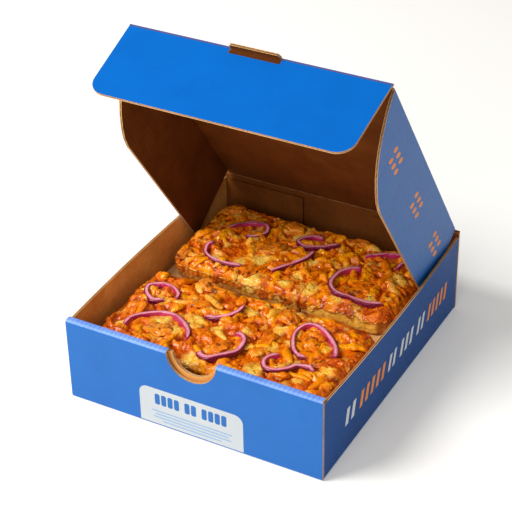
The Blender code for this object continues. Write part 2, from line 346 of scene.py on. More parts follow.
def paper(name, colour, shade, rough, spec, flute=0.00002, mottle=0.35):
    """Liner paper or print on it: fibres, faint blotches, faint flutes."""
    m = Nodes(name)
    cloud = m.noise(38.0, 3.0)
    fibre = m.noise(900.0, 2.0, vector=m.stretch((1.0, 1.0, 0.35)))
    both = m.math("ADD", m.math("MULTIPLY", cloud, 0.65),
                  m.math("MULTIPLY", fibre, 0.35))
    base = m.ramp(both, (0.5 - mottle / 2, shade), (0.5 + mottle / 2, colour))
    m.link(base, "Base Color")
    m.link(m.grey(fibre, (0.3, rough - 0.06), (0.7, rough + 0.06)), "Roughness")
    m.set(Specular_IOR_Level=spec)
    m.bump(fibre, 0.35, 0.00012)
    m.washboard(flute)
    return m.mat


BLUE = paper("print_blue", srgb(0, 95, 171), srgb(0, 88, 163), 0.42, 0.35,
             flute=0.000004)
# Darker copy of the blue print for the side walls: painted shade.
BLUE_SIDE_SHADED = paper("print_blue_side_painted_shade", srgb(0, 72, 142), srgb(0, 66, 134), 0.5, 0.14,
                  flute=0.000004)
BLUE_FLAP = paper("print_blue_flap", srgb(0, 94, 176), srgb(0, 88, 168), 0.7, 0.06,
                  flute=0.000004)
# Lighter, paler blue on the rolled rim: partly worn ink on the fold, partly painted sheen.
BLUE_FOLD_WORN_AND_SHEEN = paper("print_blue_fold_worn_and_sheen", srgb(124, 160, 232), srgb(92, 132, 212),
                  0.45, 0.3, flute=0.00008)
LABEL_INK = paper("print_label_white", srgb(184, 188, 190), srgb(176, 181, 184), 0.5, 0.3)
WHITE_INK = paper("print_white", srgb(214, 218, 222), srgb(204, 209, 214), 0.5, 0.3)
ORANGE_INK = paper("print_orange", srgb(238, 146, 60), srgb(226, 132, 48), 0.5, 0.3)
TEXT_INK = paper("print_pale_blue", srgb(138, 166, 194), srgb(128, 156, 186), 0.5, 0.3)
HEAD_INK = paper("print_mid_blue", srgb(30, 98, 166), srgb(24, 90, 158), 0.5, 0.3)
# Darkened copy of the kraft liner for the lid, back wall, flap and dust flap insides: painted
# shade.
KRAFT_SHADED = paper("kraft_liner_painted_shade", srgb(116, 64, 24), srgb(96, 50, 16), 0.75, 0.06,
              flute=0.00003, mottle=0.28)
# Much lighter copy of the kraft liner for the side walls' insides: painted light.
KRAFT_SIDE_LIT = paper("kraft_side_liner_painted_light", srgb(246, 182, 96), srgb(222, 150, 70), 0.75, 0.1,
                   flute=0.00003, mottle=0.22)
KRAFT_TRAY = paper("kraft_tray_liner", srgb(222, 156, 84), srgb(204, 138, 70), 0.75, 0.1,
                   flute=0.00003)
CUT = paper("board_cut", srgb(226, 184, 132), srgb(196, 148, 96), 0.85, 0.1)
CARD = paper("insert_card", srgb(222, 176, 116), srgb(208, 160, 100), 0.7, 0.2)


# ---- board panels ---------------------------------------------------------------
def scan_span(outline, a):
    """Where the line at a crosses the outline, lowest and highest b."""
    hits = []
    for (a0, b0), (a1, b1) in zip(outline, outline[1:] + outline[:1]):
        if (a0 - a) * (a1 - a) < 0:
            hits.append(b0 + (b1 - b0) * (a - a0) / (a1 - a0))
    return min(hits), max(hits)


def scan_lines(outline, step):
    """Scan lines just beside each outline corner, and evenly between."""
    hair = 0.004
    corners = sorted({round(a, 3) for a, _ in outline})
    lines = []
    for a0, a1 in zip(corners, corners[1:]):
        lo, hi = a0 + hair, a1 - hair
        if hi <= lo:
            continue
        n = max(1, int(math.ceil((hi - lo) / step)))
        lines.extend(np.linspace(lo, hi, n + 1))
    return np.array(lines)


def layer(out, outline, place, step, rows, w_of, thick, mats, inset=0.0):
    """One paper of a board: a closed sheet with two faces and an edge."""
    a = scan_lines(outline, step)
    spans = np.array([scan_span(outline, v) for v in a])
    t = np.linspace(0.0, 1.0, rows)[None, :]
    lo, hi = spans[:, :1] + inset, spans[:, 1:] - inset
    b = lo + (hi - lo) * t
    aa = np.broadcast_to(a[:, None], b.shape)
    ids = []
    for sign in (1.0, -1.0):
        w = w_of(aa) + sign * thick / 2
        xyz = place(aa, b, w)
        uv = np.stack([aa / PITCH, b / PITCH], axis=-1)
        ids.append(out.points(xyz.reshape(-1, 3), uv))
    na = len(a)
    out.quads(ids[0], na, rows, mats[0])
    out.quads(ids[1], na, rows, mats[1], flip=True)
    top = ids[0] + np.arange(na * rows).reshape(na, rows)
    low = ids[1] + np.arange(na * rows).reshape(na, rows)
    for line_t, line_l, flip in ((top[:, 0], low[:, 0], False),
                                 (top[:, -1], low[:, -1], True),
                                 (top[0], low[0], True),
                                 (top[-1], low[-1], False)):
        for i in range(len(line_t) - 1):
            quad = [line_t[i], line_t[i + 1], line_l[i + 1], line_l[i]]
            out.face(quad[::-1] if flip else quad, mats[2])


def board(name, outline, place, body, nodes, coats, rows=2, step=20.0):
    """Fine-flute board. The outline is (across flutes, along flutes)."""
    out = Builder()
    deep = HALF_B - LINER / 2
    wave = deep - LINER / 2 - MEDIUM / 2
    layer(out, outline, place, step, rows, lambda a: 0 * a + deep, LINER, (0, 2, 2))
    layer(out, outline, place, step, rows, lambda a: 0 * a - deep, LINER, (2, 1, 2))
    layer(out, outline, place, PITCH / 8, rows,
          lambda a: wave * np.sin(a * 2 * math.pi / PITCH), MEDIUM, (2, 2, 2), 0.25)
    obj = out.build(name, [coats[0], coats[1], coats[2] if len(coats) > 2 else CUT])
    return settle(obj, body, nodes)


def plane(origin, along_a, along_b, out_w):
    """Flat placing: the middle of the board's thickness goes through origin."""
    origin, along_a, along_b, out_w = map(np.asarray, (origin, along_a, along_b, out_w))

    def place(a, b, w):
        return (origin + a[..., None] * along_a + b[..., None] * along_b
                + w[..., None] * out_w)
    return place


def rod(name, start, end, side, up, r, a0, a1, coats, body, nodes=(), n=10):
    """Rounded fold: a sector of a cylinder swept from start to end."""
    start, end, side, up = map(np.asarray, (start, end, side, up))
    turn = np.radians(np.linspace(a0, a1, n + 1))
    ring = [(0.0, 0.0)] if abs(a1 - a0) < 359 else []
    ring += [(r * math.cos(t), r * math.sin(t)) for t in turn[:n + 1 if ring else n]]
    length = float(np.linalg.norm(end - start))
    steps = max(2, int(length / 12.0))
    out = Builder()
    f = np.linspace(0.0, 1.0, steps + 1)
    pts, uvs = [], []
    for t in f:
        for p, q in ring:
            pts.append(start + (end - start) * t + side * p + up * q)
            uvs.append((length * t / PITCH, 0.0))
    first = out.points(pts, uvs)
    out.quads(first, steps + 1, len(ring), 0, closed=True)
    out.face(range(first, first + len(ring)), 1)
    last = first + steps * len(ring)
    out.face(list(range(last, last + len(ring)))[::-1], 1)
    obj = out.build(name, [coats[0], coats[1]], 50.0)
    return settle(obj, body, nodes)


UP = np.array([0.0, 0.0, 1.0])
Y_AXIS = np.array([0.0, 1.0, 0.0])
STRIP_Z = FRONT_TOP - BOARD


def bow(along, up):
    """How far a side wall leans out, at a place along it and up it."""
    return (BOW * np.clip(up / SIDE_TOP, 0, 1) ** BOW_RISE
            * (1.0 - (along / SIDE_REACH) ** 2))


def rectangle(a0, a1, b0, b1):
    return [(a0, b0), (a1, b0), (a1, b1), (a0, b1)]


def notched(half, z0, z1, notch_r):
    """A front panel's outline with the round thumb notch in its top."""
    drop = FRONT_TOP - z1
    a = math.degrees(math.asin(drop / notch_r))
    cut = arc(NOTCH_X, FRONT_TOP, notch_r, -a, -180.0 + a, 32)
    return [(-half, z0), (half, z0), (half, z1)] + cut + [(-half, z1)]


def make_tray():
    board("tray_floor", rectangle(-HALF_W + BOARD, HALF_W - BOARD,
                                  -HALF_D + BOARD, HALF_D - BOARD),
          plane((0, 0, HALF_B), X_AXIS, Y_AXIS, -UP),
          "tray", ["box_floor"], (BLUE, KRAFT_TRAY))
    board("tray_front", notched(HALF_W, BOARD, STRIP_Z, NOTCH_R),
          plane((0, -HALF_D + HALF_B, 0), X_AXIS, UP, -Y_AXIS),
          "tray", ["front_panel"], (BLUE, KRAFT_TRAY))
    board("tray_front_inner", notched(HALF_W - BOARD - EDGE_GAP, BOARD + EDGE_GAP, STRIP_Z,
                                      NOTCH_R_IN),
          plane((0, FRONT_BACK - HALF_B, 0), X_AXIS, UP, Y_AXIS),
          "tray", ["front_inner_panel"], (KRAFT_TRAY, KRAFT_TRAY))
    board("tray_back", rectangle(-HALF_W, HALF_W, BOARD, HINGE[2] - FOLD_CLEAR),
          plane((0, HINGE[1], 0), X_AXIS, UP, Y_AXIS),
          "tray", ["back_wall"], (BLUE, KRAFT_SHADED))
    for tag, a0, coat in (("outer", -90, BLUE), ("inner", 90, KRAFT_SHADED)):
        rod("tray_back_rim_" + tag, (-HALF_W, HINGE[1], HINGE[2]),
            (HALF_W, HINGE[1], HINGE[2]), Y_AXIS, UP, HALF_B, a0, a0 + 180,
            (coat, KRAFT_SHADED), "tray")

    def bowed(side):
        def place(a, b, w):
            x = side * (HALF_W - HALF_B + bow(b, a) + w)
            return np.stack([x, b, a], axis=-1)
        return place

    for tag, side in (("left", -1.0), ("right", 1.0)):
        board("tray_side_" + tag, rectangle(BOARD, SIDE_TOP, -SIDE_REACH, SIDE_REACH),
              bowed(side), "tray", ["side_wall_" + tag],
              (BLUE_SIDE_SHADED, KRAFT_SIDE_LIT), rows=22, step=6.0)
        rod("tray_bottom_fold_" + tag, (side * (HALF_W - BOARD), -SIDE_REACH, BOARD),
            (side * (HALF_W - BOARD), SIDE_REACH, BOARD), side * X_AXIS, UP, BOARD,
            -90, 0, (BLUE, CUT), "tray")
        board("tray_dust_" + tag,
              rectangle(*sorted((side * DUST_LO[0], side * DUST_HI[0])),
                        DUST_LO[2], DUST_HI[2]),
              plane((0, (DUST_LO[1] + DUST_HI[1]) / 2, 0), X_AXIS, UP, Y_AXIS),
              "tray", ["dust_flap_" + tag], (BLUE, KRAFT_SHADED, KRAFT_SHADED))
    for tag, y, side in (("front", -HALF_D + BOARD, -1.0),
                         ("back", HALF_D - BOARD, 1.0)):
        rod("tray_bottom_fold_" + tag, (-HALF_W, y, BOARD), (HALF_W, y, BOARD),
            side * Y_AXIS, UP, BOARD, -90, 0, (BLUE, CUT), "tray")


def make_rolled_rim():
    """The board rolled over the front wall, its flutes crushed into ripples."""
    r = 1.7
    lo_y, hi_y = -HALF_D, FRONT_BACK
    outer = [(lo_y, STRIP_Z)]
    outer += arc(lo_y + r, FRONT_TOP - r, r, 180, 90, 6)
    outer += [(lo_y + (hi_y - lo_y) * k / 4, FRONT_TOP) for k in (1.6, 2.0, 2.4)]
    outer += arc(hi_y - r, FRONT_TOP - r, r, 90, 0, 6)
    outer += [(hi_y, STRIP_Z)]
    middle = (lo_y + hi_y) / 2
    inner = [(middle + (y - middle) * (1 - BOARD * 0.62 / 3.0),
              STRIP_Z + (z - STRIP_Z) * 0.12) for y, z in outer]
    for tag, x0, x1, node in (
            ("left", -HALF_W + 0.2, NOTCH_X - NOTCH_R, "front_fold_left"),
            ("right", NOTCH_X + NOTCH_R, HALF_W - 0.6, "front_fold_right")):
        n = int((x1 - x0) / (PITCH / 8))
        xs = np.linspace(x0, x1, n + 1)
        out = Builder()
        rings = len(outer) + len(inner)
        pts, uvs = [], []
        for x in xs:
            ripple = 0.5 - 0.5 * math.cos(2 * math.pi * x / PITCH)
            crush = 0.34 * ripple + 0.10 * float(noise(x / 9.0, 3.0, seed=5))
            for y, z in outer:
                lift = max(0.0, (z - STRIP_Z) / BOARD)
                pts.append((x, y + (middle - y) * 0.035 * lift * ripple,
                            z - crush * lift))
                uvs.append((x / PITCH, 0.0))
            for y, z in inner[::-1]:
                pts.append((x, y, z))
                uvs.append((x / PITCH, 0.0))
        first = out.points(pts, uvs)
        out.quads(first, n + 1, rings, 0, closed=True)
        out.face(range(first, first + rings), 1)
        last = first + n * rings
        out.face(list(range(last, last + rings))[::-1], 1)
        obj = out.build("tray_rim_" + tag, [BLUE_FOLD_WORN_AND_SHEEN, CUT], 60.0)
        settle(obj, "tray", [node])


def make_insert():
    lo, hi = INSERT_LO, INSERT_HI
    board("insert_top", rectangle(lo[0], hi[0], lo[1], hi[1]),
          plane((0, 0, hi[2] - HALF_B), X_AXIS, Y_AXIS, UP),
          "tray", ["insert_panel"], (CARD, CARD))
    for tag, side in (("left", -1.0), ("right", 1.0)):
        board("insert_side_" + tag, rectangle(lo[1], hi[1], BOARD + EDGE_GAP, lo[2]),
              plane((side * (hi[0] - HALF_B), 0, 0), Y_AXIS, UP, side * X_AXIS),
              "tray", ["insert_leg_" + tag], (CARD, CARD))


def make_lid():
    half = HALF_L - BOARD
    end, tab_end = LID_LEN - FOLD_CLEAR, LID_LEN - EDGE_GAP + TAB_LEN
    outline = [(-half, FOLD_CLEAR), (half, FOLD_CLEAR), (half, end), (TAB_HALF, end),
               (TAB_HALF, tab_end - TAB_LEN * 0.45), (TAB_HALF - 1.6, tab_end),
               (-TAB_HALF, tab_end), (-TAB_HALF, end), (-half, end)]
    board("lid_top", outline, plane(HINGE, X_AXIS, lid_along, lid_out),
          "lid", ["lid_panel"], (BLUE, KRAFT_SHADED))
    ear = [(EAR_START, -HALF_B), (EAR_END, -HALF_B), (222.8, -9.7), (219.0, -19.0),
           (213.5, -29.0), (207.5, -38.0), (200.5, -46.0), (192.0, -53.0),
           (183.0, -58.5), (174.0, -62.5), (164.0, -EAR_DEPTH), (14.0, -EAR_DEPTH),
           (9.0, -EAR_DEPTH + 2.0), (7.0, -EAR_DEPTH + 7.0)]
    turned = [(n, s) for s, n in ear]
    for tag, side in (("left", -1.0), ("right", 1.0)):
        origin = HINGE + X_AXIS * side * (HALF_L - HALF_B)
        board("lid_side_" + tag, turned,
              plane(origin, lid_out, lid_along, side * X_AXIS),
              "lid", ["lid_ear_" + tag], (BLUE, KRAFT_SHADED))
        corner = HINGE + X_AXIS * side * half - lid_out * HALF_B
        rod("lid_side_fold_" + tag, corner + lid_along * EAR_START,
            corner + lid_along * EAR_END, side * X_AXIS, lid_out, BOARD, 0, 90,
            (BLUE, CUT), "lid")
    for tag, x0, x1 in (("left", -HALF_L, -TAB_HALF - TAB_GAP),
                        ("right", TAB_HALF + TAB_GAP, HALF_L)):
        for face, a0, coat in (("outer", 0, BLUE), ("inner", 180, KRAFT_SHADED)):
            rod("lid_front_fold_%s_%s" % (tag, face), FOLD + X_AXIS * x0,
                FOLD + X_AXIS * x1, lid_along, lid_out, HALF_B, a0, a0 + 180,
                (coat, CUT), "lid")


def make_flap():
    half0, half1 = HALF_L - EDGE_GAP, HALF_L - FLAP_TAPER
    hole = TAB_HALF + TAB_GAP
    outline = [(-half0, FOLD_CLEAR), (-hole, FOLD_CLEAR), (-hole, FLAP_HOLE),
               (hole, FLAP_HOLE), (hole, FOLD_CLEAR), (half0, FOLD_CLEAR)]
    outline += arc(half1 - FLAP_R, FLAP_LEN - FLAP_R, FLAP_R, 0.0, 90.0, 12)
    outline += arc(-half1 + FLAP_R, FLAP_LEN - FLAP_R, FLAP_R, 90.0, 180.0, 12)
    board("flap_front", outline, plane(FOLD, X_AXIS, flap_along, flap_out),
          "flap", ["front_flap"], (BLUE_FLAP, KRAFT_SHADED))


# ---- print ------------------------------------------------------------------------
def decal(name, shapes, place, lift, mat, body):
    """Thin printed shapes; each is an outline of (a, b) points."""
    out = Builder()
    thick = 0.03
    for outline in shapes:
        n = len(outline)
        a = np.array([p[0] for p in outline])
        b = np.array([p[1] for p in outline])
        ids = []
        for w in (lift + thick, lift):
            xyz = place(a, b, np.full(n, w))
            ids.append(out.points(xyz, np.stack([a / PITCH, b / PITCH], axis=-1)))
        out.face(range(ids[0], ids[0] + n))
        out.face(list(range(ids[1], ids[1] + n))[::-1])
        for i in range(n):
            j = (i + 1) % n
            out.face((ids[0] + i, ids[1] + i, ids[1] + j, ids[0] + j))
    obj = out.build(name, [mat])
    return settle(obj, body)


def bar(a0, a1, b0, b1, slant=0.0):
    return [(a0, b0), (a1, b0), (a1 + slant, b1), (a0 + slant, b1)]


def rounded(a0, a1, b0, b1, r):
    outline = arc(a1 - r, b1 - r, r, 0, 90, 5) + arc(a0 + r, b1 - r, r, 90, 180, 5)
    outline += arc(a0 + r, b0 + r, r, 180, 270, 5)
    return outline + arc(a1 - r, b0 + r, r, 270, 360, 5)


def oval(a, b, long, short, turn):
    t = math.radians(turn)
    ring = []
    for k in range(20):
        u = long * math.cos(2 * math.pi * k / 20)
        v = short * math.sin(2 * math.pi * k / 20)
        ring.append((a + u * math.cos(t) - v * math.sin(t),
                     b + u * math.sin(t) + v * math.cos(t)))
    return ring


def side_strokes(start, end):
    """Plain slanted strokes in place of a run of lettering."""
    strokes = []
    count = max(2, round((end - start) / 8.6))
    pitch = (end - start) / count
    for k in range(count):
        at = start + k * pitch
        strokes.append(bar(at, at + pitch * 0.5, 24.5, 39.0, 2.6))
    return strokes


def make_print():
    front = plane((0, -HALF_D, 0), X_AXIS, UP, -Y_AXIS)
    label = [(-44.0, BOARD), (42.0, BOARD)]
    label += arc(35.0, 27.0, 7.0, 0, 90, 8)
    label += arc(-37.0, 27.0, 7.0, 90, 180, 8)
    decal("print_label", [label], front, 0.02, LABEL_INK, "tray")
    heads = [rounded(at, at + 4.2, 20.0, 29.5, 1.4)
             for at in (-31.0, -25.6, -20.2, -14.8, -6.0, -0.6, 8.2, 13.6, 19.0, 24.4)]
    decal("print_heading", heads, front, 0.07, HEAD_INK, "tray")
    lines = [bar(-34.0 + inset, 33.0 - inset, b, b + 1.2)
             for b, inset in ((13.2, 0.0), (10.4, 3.0), (7.6, 1.0), (4.8, 9.0))]
    decal("print_lines", lines, front, 0.07, TEXT_INK, "tray")

    def right_wall(a, b, w):
        return np.stack([HALF_W + bow(a, b) + w, a, b], axis=-1)

    white, orange = [], []
    for start, end, ink in ((-85.0, -66.0, white), (-62.0, -17.0, orange),
                            (-14.0, 2.0, white), (7.0, 33.0, white),
                            (38.0, 54.0, white), (58.0, 98.0, orange)):
        ink.extend(side_strokes(start, end))
    decal("print_side_white", white, right_wall, 0.10, WHITE_INK, "tray")
    decal("print_side_orange", orange, right_wall, 0.10, ORANGE_INK, "tray")
    ear = plane(HINGE + X_AXIS * HALF_L, lid_along, -lid_out, X_AXIS)
    spots = []
    for along in (37.0, 105.0, 175.0):
        for row in (-6.0, 6.0):
            for col in (-8.0, 0.0, 8.0):
                spots.append(oval(along + col, 28.5 + row * 0.75, 3.6, 2.0, 52.0))
    decal("print_ear_spots", spots, ear, 0.02, ORANGE_INK, "lid")


make_tray()
make_rolled_rim()
make_insert()
make_lid()
make_flap()
make_print()


# ---- food: shared relief ---------------------------------------------------------
CELL = 0.5
FIELD_X = np.arange(-100.0, 100.0 + CELL, CELL)
FIELD_Y = np.arange(-110.0, 108.0 + CELL, CELL)
SLICES = ("back_left", "back_right", "front_left", "front_right")

# melted cheese pools: x, y, radius
POOLS = [
    (-31, -58, 9), (-13, -60, 6), (-12, -98, 10), (36, -89, 10), (29, -38, 6),
    (34, -62, 7), (43, -48, 5), (75, -36, 6), (-56, -68, 9), (-37, -77, 6),
    (83, -70, 7), (69, -87, 5), (-65, -46, 5), (-80, -84, 5), (2, -30, 5),
    (-62, 25, 8), (-23, 13, 11), (-44, 30, 6), (-27, 38, 11), (5, 17, 6),
    (25, 19, 9), (49, 17, 6), (81, 60, 9), (-18, 82, 7), (46, 94, 5),
    (-60, 58, 5), (10, 52, 5), (70, 26, 6), (36, 62, 5), (-80, 60, 5),
]

# each onion slice: name, thickness, points on its middle line
ONIONS = [
    ("front_a", 3.6, [(-66, -46), (-75, -49), (-84, -43), (-86, -34), (-77, -29),
                      (-68, -30), (-60, -35), (-58, -41)]),
    ("front_b", 3.2, [(-75, -87), (-75, -77), (-70, -68), (-60, -61), (-49, -61),
                      (-38, -66), (-30, -73), (-26, -80)]),
    ("front_c", 3.8, [(-28, -48), (-20, -49), (-13, -45), (-8, -37), (-6, -28)]),
    ("front_d", 4.2, [(3, -59), (9, -60), (14, -66), (15, -75), (13, -83), (6, -91),
                      (0, -95), (-7, -93), (-9, -89)]),
    ("front_e", 3.4, [(80, -51), (75, -41), (66, -31), (56, -25), (47, -25), (42, -32),
                      (43, -43), (49, -55), (56, -62), (63, -63)]),
    ("front_f", 3.4, [(44, -67), (39, -72), (38, -80), (43, -87), (51, -87), (58, -81),
                      (62, -74), (70, -72), (76, -75)]),
    ("back_a", 3.4, [(-70, 61), (-67, 69), (-61, 76), (-52, 80), (-43, 77), (-40, 69),
                     (-46, 62), (-54, 61)]),
    ("back_b", 3.6, [(-71, 40), (-74, 35), (-71, 26), (-63, 20), (-55, 19), (-46, 21),
                     (-38, 24)]),
    ("back_c", 3.2, [(3, 86), (-6, 85), (-12, 78), (-12, 70), (-4, 67), (6, 71),
                     (15, 76), (20, 81)]),
    ("back_d", 3.2, [(5, 64), (6, 56), (3, 47), (-3, 39), (-9, 32), (-13, 27)]),
    ("back_e", 3.6, [(49, 59), (41, 55), (36, 48), (35, 37), (38, 26), (46, 19),
                     (57, 19), (70, 19), (83, 24)]),
    ("back_f", 3.0, [(45, 75), (50, 80), (59, 86), (69, 89)]),
    ("back_g", 3.0, [(73, 73), (74, 80), (76, 86)]),
]
ONION_HIGH = 4.0
BED = 4.0                # usual height of the topping over its base

# places where the topping is heaped: x, y, radius, extra height
MOUNDS = [(-96, -14, 24, -2.5), (-72, 84, 24, 4.0), (-40, 62, 22, 1.5), (20, 60, 26, 1.5),
          (60, 84, 24, 1.5), (-10, -70, 26, 1.0), (60, -60, 24, 1.0)]

# larger pieces of chicken: x, y, length, width, height, turn
CHICKEN = [
    (2, -77, 18, 12, 7.0, 65), (75, -64, 13, 8, 6.0, 12),
    (-37, -40, 17, 10, 6.0, 25), (-43, -14, 26, 12, 6.0, -12),
    (27, -22, 24, 13, 6.5, -25), (58, -43, 18, 13, 6.5, -45),
    (-50, -80, 24, 13, 6.0, 10), (28, -54, 20, 11, 6.0, 75),
    (-80, 88, 20, 13, 7.0, 15), (-26, 91, 24, 12, 6.5, -8),
    (-27, 54, 24, 14, 6.5, 35), (-28, 20, 18, 11, 6.5, 80),
    (21, 40, 22, 11, 6.0, 70), (60, 37, 22, 12, 6.5, 45),
    (30, 93, 20, 10, 6.5, 10), (-86, 17, 16, 10, 6.0, 80),
]


def blur(field, radius):
    """Gaussian blur of a grid; radius in millimetres."""
    sigma = radius / CELL
    reach = int(3 * sigma) + 1
    kernel = np.exp(-0.5 * (np.arange(-reach, reach + 1) / sigma) ** 2)
    kernel /= kernel.sum()
    out = np.pad(field, reach, mode="edge")
    out = np.apply_along_axis(lambda v: np.convolve(v, kernel, "valid"), 0, out)
    return np.apply_along_axis(lambda v: np.convolve(v, kernel, "valid"), 1, out)


def slice_edges():
    edges = {}
    for tag in SLICES:
        lo, hi = box_mm("dough_" + tag)
        edges[tag] = (lo[0], hi[0], lo[1], hi[1])
    return edges


EDGES = slice_edges()
SEAM_X = EDGES["back_left"][1] + 0.8     # middle of the cuts inside a row


def scatter_point(rng):
    """A random place in the rectangle round both rows."""
    x = rng.uniform(EDGES["back_left"][0], EDGES["front_right"][1])
    y = rng.uniform(EDGES["front_left"][2], EDGES["back_left"][3])
    return x, y


def edge_distance(x, y):
    """How far inside the nearest row of slices a point is, in millimetres."""
    best = np.full(np.shape(x), -50.0)
    for row in ("back", "front"):
        x0, _, y0, y1 = EDGES[row + "_left"]
        x1 = EDGES[row + "_right"][1]
        inside = np.minimum(np.minimum(x - x0, x1 - x), np.minimum(y - y0, y1 - y))
        best = np.maximum(best, inside)
    return best


def paint_lumps(height, tint, rng, count, long_share, size, high_range):
    """Lays overlapping pieces on the height field, each with its own tint."""
    ny, nx = height.shape
    for _ in range(count):
        cx = rng.uniform(FIELD_X[0], FIELD_X[-1])
        cy = rng.uniform(FIELD_Y[0], FIELD_Y[-1])
        if rng.random() < long_share:
            length = rng.uniform(4.0, 8.0) * size
            width = rng.uniform(1.4, 2.4) * size
        else:
            length = rng.uniform(2.2, 4.5) * size
            width = rng.uniform(1.6, 3.0) * size
        high = rng.uniform(*high_range)
        turn = rng.uniform(0.0, math.pi)
        bend = rng.uniform(-0.05, 0.05)
        own = rng.uniform(0.0, 1.0)
        phase = rng.uniform(0.0, 6.28)
        i0 = max(0, int((cx - length - FIELD_X[0]) / CELL))
        i1 = min(nx, int((cx + length - FIELD_X[0]) / CELL) + 2)
        j0 = max(0, int((cy - length - FIELD_Y[0]) / CELL))
        j1 = min(ny, int((cy + length - FIELD_Y[0]) / CELL) + 2)
        gx, gy = np.meshgrid(FIELD_X[i0:i1] - cx, FIELD_Y[j0:j1] - cy)
        u = gx * math.cos(turn) + gy * math.sin(turn)
        v = gy * math.cos(turn) - gx * math.sin(turn) + bend * u * u
        v = v + 0.18 * width * np.sin(u * 0.9 + phase)
        r2 = (u / length) ** 2 + (v / width) ** 2
        dome = np.sqrt(np.clip(1.0 - r2, 0.0, 1.0))
        ci = min(max(int((cx - FIELD_X[0]) / CELL), 0), nx - 1)
        cj = min(max(int((cy - FIELD_Y[0]) / CELL), 0), ny - 1)
        level = 0.6 * height[cj, ci] + 0.4 * BED - 0.3 * high
        grain = 0.14 * np.sin(v * 4.2 + phase + 0.9 * np.sin(u * 0.5 + phase))
        top = level + high * dome + grain * smooth(0.1, 0.6, dome)
        old = height[j0:j1, i0:i1]
        over = (top > old) & (r2 < 1.0)
        old[over] = top[over]
        tint[j0:j1, i0:i1][over] = own


def pool_mask(gx, gy):
    """Where melted cheese lies, 0 to 1."""
    wob_x = 2.6 * fractal(gx / 7.0, gy / 7.0, 1.0, 31)
    wob_y = 2.6 * fractal(gx / 7.0, gy / 7.0, 5.0, 37)
    mask = np.zeros(gx.shape)
    for x, y, r in POOLS:
        d = np.hypot(gx + wob_x - x, gy + wob_y - y)
        mask = np.maximum(mask, smooth(r * 1.15, r * 0.25, d))
    stray = fractal(gx / 8.0, gy / 8.0, 2.0, 41)
    return np.maximum(mask, 0.7 * smooth(0.2, 0.6, stray))


def make_field():
    """Height over the topping's base, tint (with painted shade in hollows and painted light
    towards the back), cheese and browning on one grid.
    """
    gx, gy = np.meshgrid(FIELD_X, FIELD_Y)
    rng = np.random.default_rng(20)
    mound = 1.6 * fractal(gx / 22.0, gy / 22.0, 0.0, 3)
    for x, y, r, high in MOUNDS:
        mound += high * smooth(r, 0.0, np.hypot(gx - x, gy - y))
    height = BED - 0.8 + mound + 0.8 * fractal(gx / 8.0, gy / 8.0, 0.0, 9)
    tint = np.full(height.shape, 0.35)
    paint_lumps(height, tint, rng, 560, 0.75, 1.6, (2.4, 4.6))
    paint_lumps(height, tint, rng, 200, 0.3, 0.95, (1.4, 2.4))
    tint = blur(tint, 1.3)
    height = blur(height, 0.7)
    pools = pool_mask(gx, gy)
    crumbly = (0.55 * smooth(-20.0, 50.0, gy)
               + 0.45 * smooth(-0.1, 0.4, fractal(gx / 12.0, gy / 12.0, 8.0, 13)))
    bits = (1.5 * np.abs(noise(gx / 2.6, gy / 2.6, 0, 61))
            + 0.8 * np.abs(noise(gx / 1.3, gy / 1.3, 3.0, 67)) - 0.6)
    height += (1 - 0.9 * pools) * (0.2 + 1.0 * crumbly) * bits
    height = height + pools * (blur(height, 2.6) + 0.6 - height) * 0.85
    rise = height - blur(height, 3.4)
    inside = edge_distance(gx, gy)
    burnt = smooth(0.8, 2.1, rise + 0.8 * noise(gx / 2.6, gy / 2.6, 0, 71) - 0.2)
    rim = smooth(8.0, 0.0, inside) * smooth(-0.25, 0.6, fractal(gx / 6.0, gy / 6.0, 0, 77))
    right = smooth(84.0, 97.0, gx + 5.0 * noise(gx / 6.0, gy / 6.0, 2.0, 79))
    patch = smooth(0.15, 0.55, fractal(gx / 16.0, gy / 16.0, 4.0, 73))
    char = np.clip(0.45 * burnt * (1 - 0.6 * pools) + 0.7 * rim + 0.7 * right
                   + 0.15 * patch * (1 - pools), 0, 1)
    # Painted shade: the tint darkens in hollows below the surrounding surface. Painted light:
    # it lightens towards the back row (larger y).
    hollow_shade = smooth(0.0, -1.5, rise)
    tint = np.clip(0.14 + 0.88 * tint - 0.7 * hollow_shade + 0.1 * smooth(0.0, 60.0, gy),
                   0.0, 1.0)
    return {"height": height, "soft": blur(height, 1.6), "tint": tint,
            "cheese": pools, "char": char}


FIELD = make_field()


def sample(name, x, y):
    """Value of one field at any points, between its grid points."""
    field = FIELD[name]
    fx = np.clip((np.asarray(x, float) - FIELD_X[0]) / CELL, 0, len(FIELD_X) - 1.001)
    fy = np.clip((np.asarray(y, float) - FIELD_Y[0]) / CELL, 0, len(FIELD_Y) - 1.001)
    i, j = fx.astype(int), fy.astype(int)
    u, v = fx - i, fy - j
    return ((1 - u) * (1 - v) * field[j, i] + u * (1 - v) * field[j, i + 1]
            + (1 - u) * v * field[j + 1, i] + u * v * field[j + 1, i + 1])


# ---- food: slices ------------------------------------------------------------------
CORNER = 14.0
SEAM_CORNER = 2.0        # the cuts inside a row stay square
SEAM_SOFT = 5.5          # and the topping hardly dips towards them
SEAM_GAIN = 0.65         # the topping nearly closes the cuts


